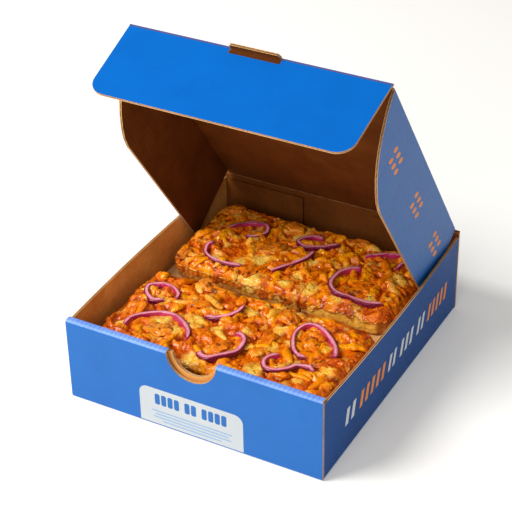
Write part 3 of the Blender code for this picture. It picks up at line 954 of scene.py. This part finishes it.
def slice_plan(tag, step, grow):
    """Points of a rounded, uneven slice as a grid, with distance to its edge."""
    x0, x1, y0, y1 = EDGES[tag]
    x0, x1, y0, y1 = x0 - grow, x1 + grow, y0 - grow, y1 + grow
    if tag.endswith("left"):
        x1 += SEAM_GAIN - grow * 0.6
        corner_lo, corner_hi, soft_lo, soft_hi = CORNER, SEAM_CORNER, 0.0, SEAM_SOFT
    else:
        x0 -= SEAM_GAIN - grow * 0.6
        corner_lo, corner_hi, soft_lo, soft_hi = SEAM_CORNER, CORNER, SEAM_SOFT, 0.0
    cx, cy, hx, hy = (x0 + x1) / 2, (y0 + y1) / 2, (x1 - x0) / 2, (y1 - y0) / 2
    nx, ny = int(2 * hx / step) + 1, int(2 * hy / step) + 1
    px, py = np.meshgrid(np.linspace(-hx, hx, nx), np.linspace(-hy, hy, ny))
    corner = np.where(px > 0, corner_hi, corner_lo)
    qx = np.clip(px, -hx + corner_lo, hx - corner_hi)
    qy = np.clip(py, -hy + corner, hy - corner)
    vx, vy = px - qx, py - qy
    far = np.maximum(np.abs(vx), np.abs(vy))
    norm = np.maximum(np.hypot(vx, vy), 1e-9)
    vx, vy = vx * far / norm, vy * far / norm
    x, y = cx + qx + vx, cy + qy + vy
    inside = np.minimum(np.minimum(hx + px + soft_lo, hx - px + soft_hi),
                        hy - np.abs(py))
    near = smooth(9.0, 0.0, inside)
    seed = 100 + SLICES.index(tag) * 7
    seam = smooth(6.0, 1.5, np.abs(x - SEAM_X))
    wobble = near * (1 - 0.9 * seam)
    x = x + wobble * (1.3 * fractal(x / 10.0, y / 10.0, 0, seed)
                      + 0.6 * noise(x / 3.0, y / 3.0, 0, seed + 3))
    y = y + wobble * (1.3 * fractal(x / 10.0, y / 10.0, 4.0, seed + 5)
                      + 0.6 * noise(x / 3.0, y / 3.0, 4.0, seed + 6))
    return x, y, inside


def rim_loop(rows, cols):
    """Indices round the edge of a rows by cols grid, anticlockwise."""
    bottom = [(0, c) for c in range(cols)]
    right = [(r, cols - 1) for r in range(1, rows)]
    top = [(rows - 1, c) for c in range(cols - 2, -1, -1)]
    left = [(r, 0) for r in range(rows - 2, 0, -1)]
    return np.array(bottom + right + top + left)


def outward(loop_xy):
    """Outward unit directions of a closed anticlockwise loop."""
    ahead = np.roll(loop_xy, -2, axis=0) - np.roll(loop_xy, 2, axis=0)
    out = np.stack([ahead[:, 1], -ahead[:, 0]], axis=1)
    out /= np.maximum(np.linalg.norm(out, axis=1, keepdims=True), 1e-9)
    return out


def edge_browning_and_shade(x, y, z, outs, base):
    """Browning and painted shade of side faces: browned dark at the right end and spotted
    elsewhere, with painted shade towards the left end.
    """
    dark = smooth(0.2, 0.8, outs[:, 0]) * smooth(60.0, 90.0, x)
    spots = smooth(0.12, 0.42, fractal(x / 3.4, y / 3.4, z / 2.8, 91))
    # Painted shade: 0.1 darker everywhere and up to 0.6 darker towards the left end (x below
    # 34 mm).
    shade = 0.1 + 0.5 * smooth(34.0, 22.0, x)
    return np.clip(base + shade + 0.8 * dark + 0.5 * spots, 0.0, 1.0)


SIDE_RINGS = 14


def seam_side(x):
    """1 at the cuts inside a row, where two slices face each other closely."""
    return smooth(5.0, 2.0, np.abs(x - SEAM_X))


def crown(tag, name, step, grow, z_top, z_edge, bend, drop, bulge, rough, mats,
          nodes, tone):
    """A layer seen from above with its edge rolled over and hanging down."""
    x, y, inside = slice_plan(tag, step, grow)
    rows, cols = x.shape
    roll = np.sqrt(np.clip(1.0 - (1.0 - np.clip(inside / bend, 0, 1)) ** 2, 0, 1))
    top = z_top(x, y)
    z = z_edge + (top - z_edge) * roll
    z = z + rough * (1 - roll) * (1.2 * fractal(x / 3.4, y / 3.4, 6.0, 85) + 0.4)
    value = tone(x, y)
    out = Builder()
    first = out.points(np.stack([x, y, z], -1), np.stack([x, y], -1),
                       value.reshape(-1, 3))
    out.quads(first, rows, cols, 0)
    loop = rim_loop(rows, cols)
    ids = first + loop[:, 0] * cols + loop[:, 1]
    lx, ly = x[loop[:, 0], loop[:, 1]], y[loop[:, 0], loop[:, 1]]
    outs = outward(np.stack([lx, ly], 1))
    lz = z[loop[:, 0], loop[:, 1]]
    fall = drop(lx, ly)
    swell = bulge * (0.7 + 0.5 * fractal(lx / 5.0, ly / 5.0, 2.0, 83))
    shade = value.reshape(-1, 3)[loop[:, 0] * cols + loop[:, 1]]
    # Side faces darkened by browning and by painted shade towards the left end.
    browned_and_shaded = np.maximum(shade[:, 2], edge_browning_and_shade(lx, ly, lz, outs, -0.15))
    free = 1 - 0.9 * seam_side(lx)
    before = ids
    for down in np.linspace(0.0, 1.0, SIDE_RINGS + 1)[1:]:
        sz = lz - fall * down
        lumps = (1.5 * np.abs(fractal(lx / 3.6, ly / 3.6, sz / 3.0, 87))
                 + 0.5 * noise(lx / 1.4, ly / 1.4, sz / 1.4, 89) - 0.4)
        belly = swell * math.sin(math.pi * min(1.0, 0.08 + down * 0.92)) ** 0.7
        tuck = 1.2 * max(0.0, down - 0.88) / 0.12
        push = belly + free * rough * lumps * min(1.0, 4.0 * (1.0 - down) + 0.2) - tuck
        px = lx + outs[:, 0] * push
        py = ly + outs[:, 1] * push
        pale = smooth(0.05, 0.4, fractal(lx / 6.0, ly / 6.0, sz / 5.0, 93))
        # Tint lighter on the bulging lumps and darker in the dips between them: painted light
        # and painted shade.
        own = np.stack([np.clip(shade[:, 0] + 0.5 * lumps - 0.1, 0.0, 1.0),
                        shade[:, 1] * (0.25 + 0.75 * pale) if rough else shade[:, 1],
                        browned_and_shaded], 1)
        ring = out.points(np.stack([px, py, sz], 1), np.stack([px, py], 1), own)
        now = ring + np.arange(len(loop))
        for i in range(len(loop)):
            j = (i + 1) % len(loop)
            out.face((before[i], now[i], now[j], before[j]))
        before = now
    out.face(before[::-1])
    obj = out.build(name, mats, 180.0)
    return settle(obj, "tray", nodes)


def dough_side(tag, mats):
    """Baked base of a slice: rough cut sides with blisters, toasted below."""
    x, y, _ = slice_plan(tag, 1.1, -0.3)
    rows, cols = x.shape
    loop = rim_loop(rows, cols)
    lx, ly = x[loop[:, 0], loop[:, 1]], y[loop[:, 0], loop[:, 1]]
    outs = outward(np.stack([lx, ly], 1))
    top = box_mm("dough_" + tag)[1][2]
    levels = np.linspace(0.0, 1.0, 15)
    out = Builder()
    n = len(lx)
    rings = []
    for t in levels:
        z = DOUGH_Z + (top - DOUGH_Z + 0.6) * t
        edge = 0.9 * (1 - smooth(0.0, 0.16, t)) + 0.5 * smooth(0.9, 1.0, t)
        rough = (0.55 * fractal(lx / 5.0, ly / 5.0, z / 4.0, 95)
                 + 0.22 * noise(lx / 1.3, ly / 1.3, z / 1.0, 97))
        push = rough - edge - 0.2
        px, py = lx + outs[:, 0] * push, ly + outs[:, 1] * push
        # Darker near the bottom, browned at the right end, and painted shade towards the left
        # end.
        dark = edge_browning_and_shade(lx, ly, z, outs, 0.8 * (1 - smooth(0.05, 0.3, t)))
        pore = smooth(0.3, 0.6, fractal(lx / 2.2, ly / 2.2, z / 2.0, 99))
        value = np.stack([np.full(n, t), pore, dark], 1)
        rings.append(out.points(np.stack([px, py, np.full(n, z)], 1),
                                np.stack([px, py], 1), value))
    for k in range(len(levels) - 1):
        for i in range(n):
            j = (i + 1) % n
            out.face((rings[k] + i, rings[k] + j, rings[k + 1] + j, rings[k + 1] + i))
    out.face(list(range(rings[0], rings[0] + n))[::-1])
    out.face(range(rings[-1], rings[-1] + n))
    obj = out.build("pizza_base_" + tag, mats, 180.0)
    return settle(obj, "tray", ["dough_" + tag])


def field_marks(x, y):
    return np.stack([sample("tint", x, y), sample("cheese", x, y),
                     sample("char", x, y)], -1)


def cheese_marks(x, y):
    brown = 0.6 * smooth(0.0, 0.6, fractal(x / 5.0, y / 5.0, 1.0, 101))
    return np.stack([0 * x + 0.5, 0 * x + 1.0, brown], -1)


def topping_drop(x, y):
    """The topping hangs far down the back row's cut, less at its right end."""
    hang = np.clip(fractal(x / 7.0, y / 7.0, 0.0, 103) + 0.5, 0, 1.2)
    cut_face = smooth(14.0, 5.0, np.abs(y - 8.5))
    left = smooth(40.0, 26.0, x)
    bare = np.maximum(smooth(9.0, 4.0, np.abs(x + 24.0)), smooth(4.0, 2.0, np.abs(x - 1.0)))
    reach = 2.0 + 4.5 * hang + cut_face * left * (4.5 - 5.0 * bare)
    return reach - cut_face * (1 - left) * (0.5 + 3.2 * hang)


def cheese_drop(x, y):
    """Melted cheese runs down the cut sides here and there."""
    runs = smooth(0.1, 0.6, fractal(x / 9.0, y / 9.0, 3.0, 107))
    front = smooth(14.0, 4.0, np.abs(y - 8.0))
    pull = np.zeros(np.shape(x))
    for at, wide in ((-24.0, 9.0), (-4.0, 3.5), (5.0, 3.5), (30.0, 5.0)):
        pull = np.maximum(pull, smooth(wide, wide * 0.3, np.abs(x - at)))
    return 1.0 + 1.6 * runs + 7.0 * pull * front


def make_slices():
    for tag in SLICES:
        dough_side(tag, [DOUGH_MAT])
        crown(tag, "melted_cheese_" + tag, 1.2, 0.1,
              lambda x, y: CHEESE_Z + 2.0 + 0 * x, CHEESE_Z + 1.4, 3.0,
              cheese_drop, 0.8, 0.0, [CHEESE_MAT], ["cheese_" + tag], cheese_marks)
        crown(tag, "topping_layer_" + tag, 0.55, 0.2,
              lambda x, y: TOPPING_Z + sample("height", x, y), TOPPING_Z - 0.6, 8.5,
              topping_drop, 1.0, 1.0, [TOPPING_MAT], ["topping_" + tag],
              field_marks)


# ---- food: pieces lying on top ------------------------------------------------------
def ball_faces(out, first, rings, around, mat=0):
    """Faces of a body built of rings, with its two ends closed to fans."""
    out.quads(first, rings, around, mat, closed=True)
    out.face(list(range(first, first + around))[::-1], mat)
    last = first + (rings - 1) * around
    out.face(range(last, last + around), mat)


def shred(out, rng, x, y, length, width, turn, curl, lift, along, around, value):
    """A torn strip: a bent, ridged body that tapers at both ends."""
    t = np.linspace(0.0, 1.0, along)
    angle = turn + curl * (t - 0.5)
    step = length / (along - 1)
    px = x + np.cumsum(np.cos(angle)) * step - 0.5 * length * math.cos(turn)
    py = y + np.cumsum(np.sin(angle)) * step - 0.5 * length * math.sin(turn)
    ground = sample("soft", px, py)
    ground = np.convolve(np.pad(ground, 2, mode="edge"), np.ones(5) / 5, "valid")
    inside = edge_distance(px, py)
    ground = ground * smooth(-6.0, 9.0, inside) - 0.5 * smooth(4.0, -6.0, inside)
    arch = lift * np.sin(t * math.pi) ** 0.8
    seed = int(rng.integers(1, 100000))
    body = np.clip(np.sin(np.pi * (0.03 + 0.94 * t)), 0, 1) ** 0.5
    body = body * (1.0 + 0.35 * noise(t * length / 4.0, 0.5, 0.5, seed))
    theta = np.linspace(0.0, 2 * math.pi, around, endpoint=False)
    tt, th = np.meshgrid(t, theta, indexing="ij")
    run = tt * length
    ridge = 1.0 + 0.07 * np.sin(6 * th + 2.5 * np.sin(3 * tt + seed))
    ridge += 0.30 * np.abs(noise(run / 2.4, np.cos(th) * 1.6, np.sin(th) * 1.6, seed))
    ridge += 0.18 * np.abs(noise(run / 1.1, np.cos(th) * 3.0, np.sin(th) * 3.0, seed))
    r = 0.42 * width * body[:, None] * ridge
    side = np.cos(th) * r
    high = np.sin(th) * r * 0.66
    nx, ny = -np.sin(angle)[:, None], np.cos(angle)[:, None]
    z = TOPPING_Z + (ground + arch)[:, None] + 0.06 * width + high
    pts = np.stack([px[:, None] + nx * side, py[:, None] + ny * side, z], -1)
    first = out.points(pts, np.stack([run, th], -1), value)
    ball_faces(out, first, along, around)


def on_slice(x, y, margin):
    return edge_distance(np.array([x]), np.array([y]))[0] > margin


def make_shreds():
    rng = np.random.default_rng(33)
    out = Builder()
    placed = 0
    while placed < 70:
        x, y = scatter_point(rng)
        length = rng.uniform(9.0, 22.0)
        if not on_slice(x, y, 0.3 * length) or sample("cheese", x, y) > 0.5:
            continue
        pale = rng.random() < 0.25
        value = (rng.uniform(0.45, 1.0), 0.5 * pale,
                 float(sample("char", x, y)) * 0.6)
        shred(out, rng, x, y, length, rng.uniform(3.6, 7.4), rng.uniform(0, math.pi),
              rng.uniform(-0.8, 0.8), rng.uniform(0.0, 0.8), 30, 18, value)
        placed += 1
    obj = out.build("chicken_shreds", [CHICKEN_MAT], 180.0)
    settle(obj, "tray")


def chunk(out, rng, x, y, length, width, high, turn, value):
    """A lumpy piece of pulled meat with grooves along its length."""
    along, around = 44, 40
    t = np.linspace(0.0, 1.0, along)
    theta = np.linspace(0.0, 2 * math.pi, around, endpoint=False)
    tt, th = np.meshgrid(t, theta, indexing="ij")
    seed = int(rng.integers(1, 100000))
    run = (tt - 0.5) * length
    body = np.clip(np.sin(np.pi * (0.02 + 0.96 * tt)), 0, 1) ** 0.42
    c, s = np.cos(th), np.sin(th)
    lobes = 0.96 + 0.34 * noise(run / 5.5, c * 1.2, s * 1.2, seed)
    lobes += 0.24 * np.abs(noise(run / 3.4, c * 2.6, s * 2.6, seed + 1))
    lobes += 0.12 * np.abs(noise(run / 1.4, c * 5.0, s * 5.0, seed + 2))
    lobes += 0.07 * np.sin(9 * th + 1.5 * np.sin(run / 3.0 + seed))
    side = 0.46 * width * body * lobes * c
    rise = 0.52 * high * body * lobes * s
    bend = rng.uniform(-0.012, 0.012) * run * run
    a = math.radians(turn)
    side = side + bend
    px = x + run * math.cos(a) - side * math.sin(a)
    py = y + run * math.sin(a) + side * math.cos(a)
    ground = sample("soft", x + run * math.cos(a), y + run * math.sin(a))
    ground = 0.6 * ground.mean() + 0.4 * ground
    z = TOPPING_Z + ground + 0.06 * high + rise
    # Painted shade: the tint darkens in the grooves between the lobes.
    groove_shade = np.clip(1.25 - lobes, 0.0, 0.6)
    shade = np.stack([value[0] - 0.9 * groove_shade, value[1] + 0 * z,
                      value[2] + 0.9 * smooth(0.25, 0.6, noise(px / 3.0, py / 3.0, 0, seed))],
                     -1)
    first = out.points(np.stack([px, py, z], -1), np.stack([run, th], -1),
                       np.clip(shade, 0.0, 1.0).reshape(-1, 3))
    ball_faces(out, first, along, around)


def make_chicken():
    rng = np.random.default_rng(57)
    for i, (x, y, length, width, high, turn) in enumerate(CHICKEN):
        out = Builder()
        value = (rng.uniform(0.5, 0.75), rng.uniform(0.0, 0.2), 0.1)
        chunk(out, rng, x, y, length, width, high * 0.72, turn, value)
        obj = out.build("chicken_piece_%02d" % (i + 1), [CHICKEN_MAT], 180.0)
        settle(obj, "tray", ["chicken_%02d" % (i + 1)])


def make_crumbs():
    """Small bits of sauce and meat."""
    rng = np.random.default_rng(71)
    out = Builder()
    placed = 0
    while placed < 260:
        x, y = scatter_point(rng)
        if not on_slice(x, y, 0.3) or sample("cheese", x, y) > 0.75:
            continue
        size = rng.uniform(1.2, 3.2)
        value = (rng.uniform(0.15, 0.9), 0.0, rng.uniform(0.0, 0.5))
        shred(out, rng, x, y, size * rng.uniform(1.0, 1.7), size,
              rng.uniform(0, math.pi), 0.0, 0.0, 8, 8, value)
        placed += 1
    obj = out.build("topping_crumbs", [CHICKEN_MAT], 180.0)
    settle(obj, "tray")


def make_flecks(name, count, mat, size, seed):
    """Thin flecks of herb, chilli or char lying on the surface."""
    rng = np.random.default_rng(seed)
    out = Builder()
    placed = 0
    while placed < count:
        x, y = scatter_point(rng)
        if not on_slice(x, y, 1.5):
            continue
        r = size * rng.uniform(0.5, 1.2)
        n = 7
        turn = rng.uniform(0, 6.28) + np.linspace(0, 2 * math.pi, n, endpoint=False)
        rr = r * rng.uniform(0.6, 1.2, n)
        px, py = x + rr * np.cos(turn) * 1.3, y + rr * np.sin(turn) * 0.8
        level = sample("height", px, py)
        top = TOPPING_Z + np.maximum(level, sample("soft", px, py)) + 0.28
        ids = [out.points(np.stack([px, py, top - d], 1)) for d in (0.0, 0.35)]
        tip = out.points([(x, y, float(top.mean()) + 0.12)])
        for i in range(n):
            j = (i + 1) % n
            out.face((ids[0] + i, ids[0] + j, tip))
            out.face((ids[0] + i, ids[1] + i, ids[1] + j, ids[0] + j))
        out.face(list(range(ids[1], ids[1] + n))[::-1])
        placed += 1
    obj = out.build(name, [mat], 60.0)
    settle(obj, "tray")


def onion_path(points, step=1.0):
    """Smooth line through the points, sampled about every step."""
    p = [np.array(q, float) for q in points]
    p = [2 * p[0] - p[1]] + p + [2 * p[-1] - p[-2]]
    path = []
    for before, start, end, after in zip(p, p[1:], p[2:], p[3:]):
        n = max(1, round(float(np.linalg.norm(end - start)) / step))
        for t in np.arange(n) / n:
            path.append(0.5 * (2 * start + (end - before) * t
                               + (2 * before - 5 * start + 4 * end - after) * t * t
                               + (3 * start - before - 3 * end + after) * t ** 3))
    return np.array(path + [p[-2]])


def turn_side(path):
    """+1 where the path turns left, so that the skin faces away from the bend."""
    d = np.diff(path, axis=0)
    return np.sign(np.sum(d[:-1, 0] * d[1:, 1] - d[:-1, 1] * d[1:, 0]) + 1e-9)


def make_onions():
    for k, (tag, thick, points) in enumerate(ONIONS):
        path = onion_path(points)
        n = len(path)
        t = np.linspace(0.0, 1.0, n)
        tangent = np.gradient(path, axis=0)
        tangent /= np.linalg.norm(tangent, axis=1, keepdims=True)
        skin = -turn_side(path)
        normal = np.stack([-tangent[:, 1], tangent[:, 0]], 1) * skin
        ground = sample("soft", path[:, 0], path[:, 1])
        wide = 9
        ground = np.convolve(np.pad(ground, wide, mode="edge"),
                             np.ones(2 * wide + 1) / (2 * wide + 1), "valid")
        lean = 0.12 + 0.25 * noise(t * 3.0, k * 1.7, 0.0, 111)
        taper = np.clip(np.minimum(t, 1 - t) * n / 3.5, 0, 1) ** 0.5
        wave = 1.0 + 0.26 * noise(t * n / 11.0, k * 2.3, 0.0, 113)
        w = 0.57 * thick * wave * (0.5 + 0.5 * taper)
        h = ONION_HIGH * (0.75 + 0.25 * taper) * (1 + 0.08 * noise(t * 5, k, 0, 115))
        around = 28
        th = np.linspace(0, 2 * math.pi, around, endpoint=False)
        c, s = np.cos(th), np.sin(th)
        ex = np.sign(c) * np.abs(c) ** 0.4
        ez = 0.5 + 0.5 * np.sign(s) * np.abs(s) ** 0.4
        across = w[:, None] * ex[None, :]
        up = h[:, None] * ez[None, :]
        rib = 0.10 * np.sin(t * n * 2.1)[:, None] * (ex > 0.6)
        shift = (across + rib + np.sin(lean)[:, None] * up)
        z = TOPPING_Z + ground[:, None] - 1.0 + up * np.cos(lean)[:, None]
        z = z - np.sin(lean)[:, None] * across * 0.6
        pts = np.stack([path[:, 0][:, None] + normal[:, 0][:, None] * shift,
                        path[:, 1][:, None] + normal[:, 1][:, None] * shift, z], -1)
        value = np.stack([np.broadcast_to(0.5 + 0.5 * ex, z.shape),
                          np.broadcast_to(ez, z.shape),
                          np.broadcast_to((1 - taper)[:, None], z.shape)], -1)
        out = Builder()
        uv = np.stack([np.broadcast_to((t * n)[:, None], z.shape),
                       np.broadcast_to(th[None, :], z.shape)], -1)
        first = out.points(pts, uv, value.reshape(-1, 3))
        ball_faces(out, first, n, around)
        obj = out.build("onion_slice_" + tag, [ONION_MAT], 48.0)
        settle(obj, "tray", ["onion_" + tag])


# ---- food: materials -------------------------------------------------------------
def sauce_colour(m, tint, fine, cloud):
    t = m.math("ADD", m.math("MULTIPLY", tint, 0.5),
               m.math("ADD", m.math("MULTIPLY", cloud, 0.4),
                      m.math("MULTIPLY", fine, 0.25)))
    return m.ramp(t, (0.20, srgb(96, 20, 1)), (0.38, srgb(196, 74, 1)),
                  (0.58, srgb(230, 112, 0)), (0.82, srgb(248, 158, 2)))


def cheese_colour(m, fine, cloud):
    t = m.math("ADD", m.math("MULTIPLY", cloud, 0.7), m.math("MULTIPLY", fine, 0.3))
    return m.ramp(t, (0.34, srgb(224, 132, 14)), (0.46, srgb(242, 178, 48)),
                  (0.60, srgb(252, 220, 116)))


def burnt_colour(m, fine):
    return m.ramp(fine, (0.35, srgb(52, 16, 6)), (0.65, srgb(132, 50, 12)))


def wet_food(name, colour_of, rough, bump, soft):
    m = Nodes(name)
    tint, cheese, char = m.marks()
    fine = m.noise(1100.0, 3.0)
    cloud = m.noise(260.0, 3.0, warp=0.4)
    base = colour_of(m, tint, cheese, fine, cloud)
    burnt = m.math("MULTIPLY", char, m.grey(m.noise(420.0, 4.0), (0.38, 0.15), (0.6, 1.0)),
                   clamp=True)
    base = m.mix(burnt, base, burnt_colour(m, fine))
    m.link(base, "Base Color")
    m.link(m.grey(m.noise(500.0, 2.0), (0.35, rough - 0.1), (0.65, rough + 0.16)),
           "Roughness")
    m.set(Subsurface_Weight=soft, Subsurface_Radius=(1.0, 0.42, 0.16),
          Subsurface_Scale=0.0018, Specular_IOR_Level=0.3, Coat_Weight=0.45,
          Coat_Roughness=0.09, Specular_Tint=(1.0, 0.62, 0.22, 1.0))
    m.bump(m.noise(620.0, 3.0, warp=0.6), 1.0, 3.6 * bump)
    m.bump(m.noise(1500.0, 3.0), 0.7, bump)
    return m.mat


def topping_colour(m, tint, cheese, fine, cloud):
    return m.mix(cheese, sauce_colour(m, tint, fine, cloud), cheese_colour(m, fine, cloud))


def onion_material():
    """Dark skin on the outer side, pale flesh with magenta rims elsewhere."""
    m = Nodes("red_onion")
    across, _, end = m.marks()
    veins = m.noise(900.0, 2.0, vector=m.stretch((1.0, 1.0, 0.12)))
    cloud = m.noise(160.0, 2.0)
    wander = m.math("MULTIPLY", m.math("SUBTRACT", cloud, 0.5), 0.25)
    flesh = m.ramp(m.math("ADD", across, wander),
                   (0.02, srgb(186, 40, 96)), (0.09, srgb(164, 8, 68)),
                   (0.17, srgb(244, 168, 182)), (0.29, srgb(216, 96, 134)),
                   (0.42, srgb(255, 222, 220)), (0.55, srgb(220, 104, 140)),
                   (0.65, srgb(244, 168, 182)), (0.78, srgb(154, 4, 64)),
                   (0.92, srgb(104, 0, 44)))
    streak = m.ramp(m.math("ADD", m.math("MULTIPLY", cloud, 0.4),
                           m.math("MULTIPLY", veins, 0.6)),
                    (0.34, srgb(196, 112, 140)), (0.58, srgb(255, 252, 252)))
    base = m.mix(0.7, flesh, streak, "MULTIPLY")
    base = m.mix(m.math("MULTIPLY", end, 0.8), base, srgb(140, 14, 76))
    m.link(base, "Base Color")
    m.link(m.grey(veins, (0.3, 0.18), (0.7, 0.34)), "Roughness")
    m.set(Subsurface_Weight=0.1, Subsurface_Radius=(1.0, 0.3, 0.5),
          Subsurface_Scale=0.001, Coat_Weight=0.6, Coat_Roughness=0.06,
          Specular_Tint=(1.0, 0.6, 0.75, 1.0))
    m.bump(veins, 0.5, 0.0002)
    return m.mat


def dough_material():
    m = Nodes("baked_dough")
    _, pore, dark = m.marks()
    fine = m.noise(900.0, 3.0)
    cloud = m.noise(300.0, 3.0)
    base = m.ramp(m.math("ADD", m.math("MULTIPLY", cloud, 0.7),
                         m.math("MULTIPLY", fine, 0.3)),
                  (0.34, srgb(200, 116, 20)), (0.5, srgb(232, 168, 50)),
                  (0.66, srgb(244, 200, 90)))
    toast = m.ramp(fine, (0.35, srgb(84, 34, 8)), (0.65, srgb(168, 84, 22)))
    base = m.mix(m.math("MULTIPLY", pore, 0.55), base, toast)
    base = m.mix(m.math("MULTIPLY", dark, 0.9, clamp=True), base, toast)
    m.link(base, "Base Color")
    m.link(m.grey(cloud, (0.3, 0.42), (0.7, 0.68)), "Roughness")
    m.set(Subsurface_Weight=0.12, Subsurface_Radius=(1.0, 0.5, 0.2),
          Subsurface_Scale=0.0015)
    m.bump(fine, 0.7, 0.0004)
    return m.mat


def plain_bit(name, dark, light):
    m = Nodes(name)
    m.link(m.ramp(m.noise(1400.0, 2.0), (0.35, dark), (0.65, light)), "Base Color")
    m.set(Roughness=0.45)
    m.bump(m.noise(2500.0, 2.0), 0.4, 0.0001)
    return m.mat


TOPPING_MAT = wet_food("sauced_topping", topping_colour, 0.34, 0.00035, 0.12)
CHICKEN_MAT = wet_food("sauced_chicken", topping_colour, 0.36, 0.0003, 0.12)
CHEESE_MAT = wet_food("melted_cheese",
                      lambda m, tint, cheese, fine, cloud: cheese_colour(m, fine, cloud),
                      0.3, 0.0002, 0.2)
ONION_MAT = onion_material()
DOUGH_MAT = dough_material()
HERB_MAT = plain_bit("dried_herb", srgb(44, 40, 14), srgb(86, 78, 26))
CHILLI_MAT = plain_bit("chilli", srgb(150, 14, 8), srgb(206, 36, 14))
CHAR_MAT = plain_bit("charred_bit", srgb(24, 10, 6), srgb(62, 24, 10))

make_slices()
make_shreds()
make_chicken()
make_crumbs()
make_onions()
make_flecks("herb_flecks", 60, HERB_MAT, 0.6, 131)
make_flecks("chilli_flecks", 60, CHILLI_MAT, 0.7, 137)
make_flecks("char_flecks", 80, CHAR_MAT, 0.65, 139)


# ---- floor, light and camera ---------------------------------------------------
def make_stage():
    out = Builder()
    size = 3000.0
    first = out.points([(-size, -size, -0.05), (size, -size, -0.05),
                        (size, size, -0.05), (-size, size, -0.05)])
    out.face(range(first, first + 4))
    m = Nodes("floor")
    m.set(Base_Color=(0.9, 0.88, 0.84, 1.0), Roughness=0.9, Specular_IOR_Level=0.1,
          Emission_Color=(1.0, 0.97, 0.9, 1.0), Emission_Strength=0.12)
    floor = out.build("floor", [m.mat])


def area_light(name, place, target, size, power, colour=(1.0, 1.0, 1.0)):
    data = bpy.data.lights.new(name, "AREA")
    data.shape = "DISK"
    data.size = size
    data.energy = power
    data.color = colour
    obj = bpy.data.objects.new(name, data)
    obj.location = place
    obj.rotation_euler = (Vector(target) - Vector(place)).to_track_quat("-Z", "Y").to_euler()
    bpy.context.scene.collection.objects.link(obj)


def make_light():
    world = bpy.data.worlds.new("studio")
    world.use_nodes = True
    back = world.node_tree.nodes["Background"]
    back.inputs["Color"].default_value = (1.0, 1.0, 1.0, 1.0)
    back.inputs["Strength"].default_value = 0.38
    bpy.context.scene.world = world
    toward = Vector((-0.50, -0.46, 0.73)).normalized()
    area_light("key", toward * 2.2, (0.0, 0.0, 0.05), 1.2, 54.0)
    toward = Vector((0.12, -0.86, 0.50)).normalized()
    area_light("fill", toward * 2.2, (0.0, 0.0, 0.05), 1.4, 15.0)
    bpy.context.scene.view_settings.view_transform = "Standard"


def make_camera():
    azimuth, elevation, roll = (math.radians(v) for v in (29.19, 33.35, -1.14))
    back = Vector((math.sin(azimuth) * math.cos(elevation),
                   -math.cos(azimuth) * math.cos(elevation), math.sin(elevation)))
    target = Vector((-11.4, 0.0, 84.1)) * MM
    distance = 1226.8 * MM
    right = Vector((math.cos(azimuth), math.sin(azimuth), 0.0))
    up = back.cross(right)
    right_r = right * math.cos(roll) + up * math.sin(roll)
    up_r = up * math.cos(roll) - right * math.sin(roll)
    data = bpy.data.cameras.new("camera")
    data.sensor_width = 36.0
    data.lens = 114.5
    data.clip_end = 20.0
    obj = bpy.data.objects.new("camera", data)
    turn = Matrix((right_r, up_r, back)).transposed().to_4x4()
    obj.matrix_world = Matrix.Translation(target + back * distance) @ turn
    bpy.context.scene.collection.objects.link(obj)
    bpy.context.scene.camera = obj


make_stage()
make_light()
make_camera()
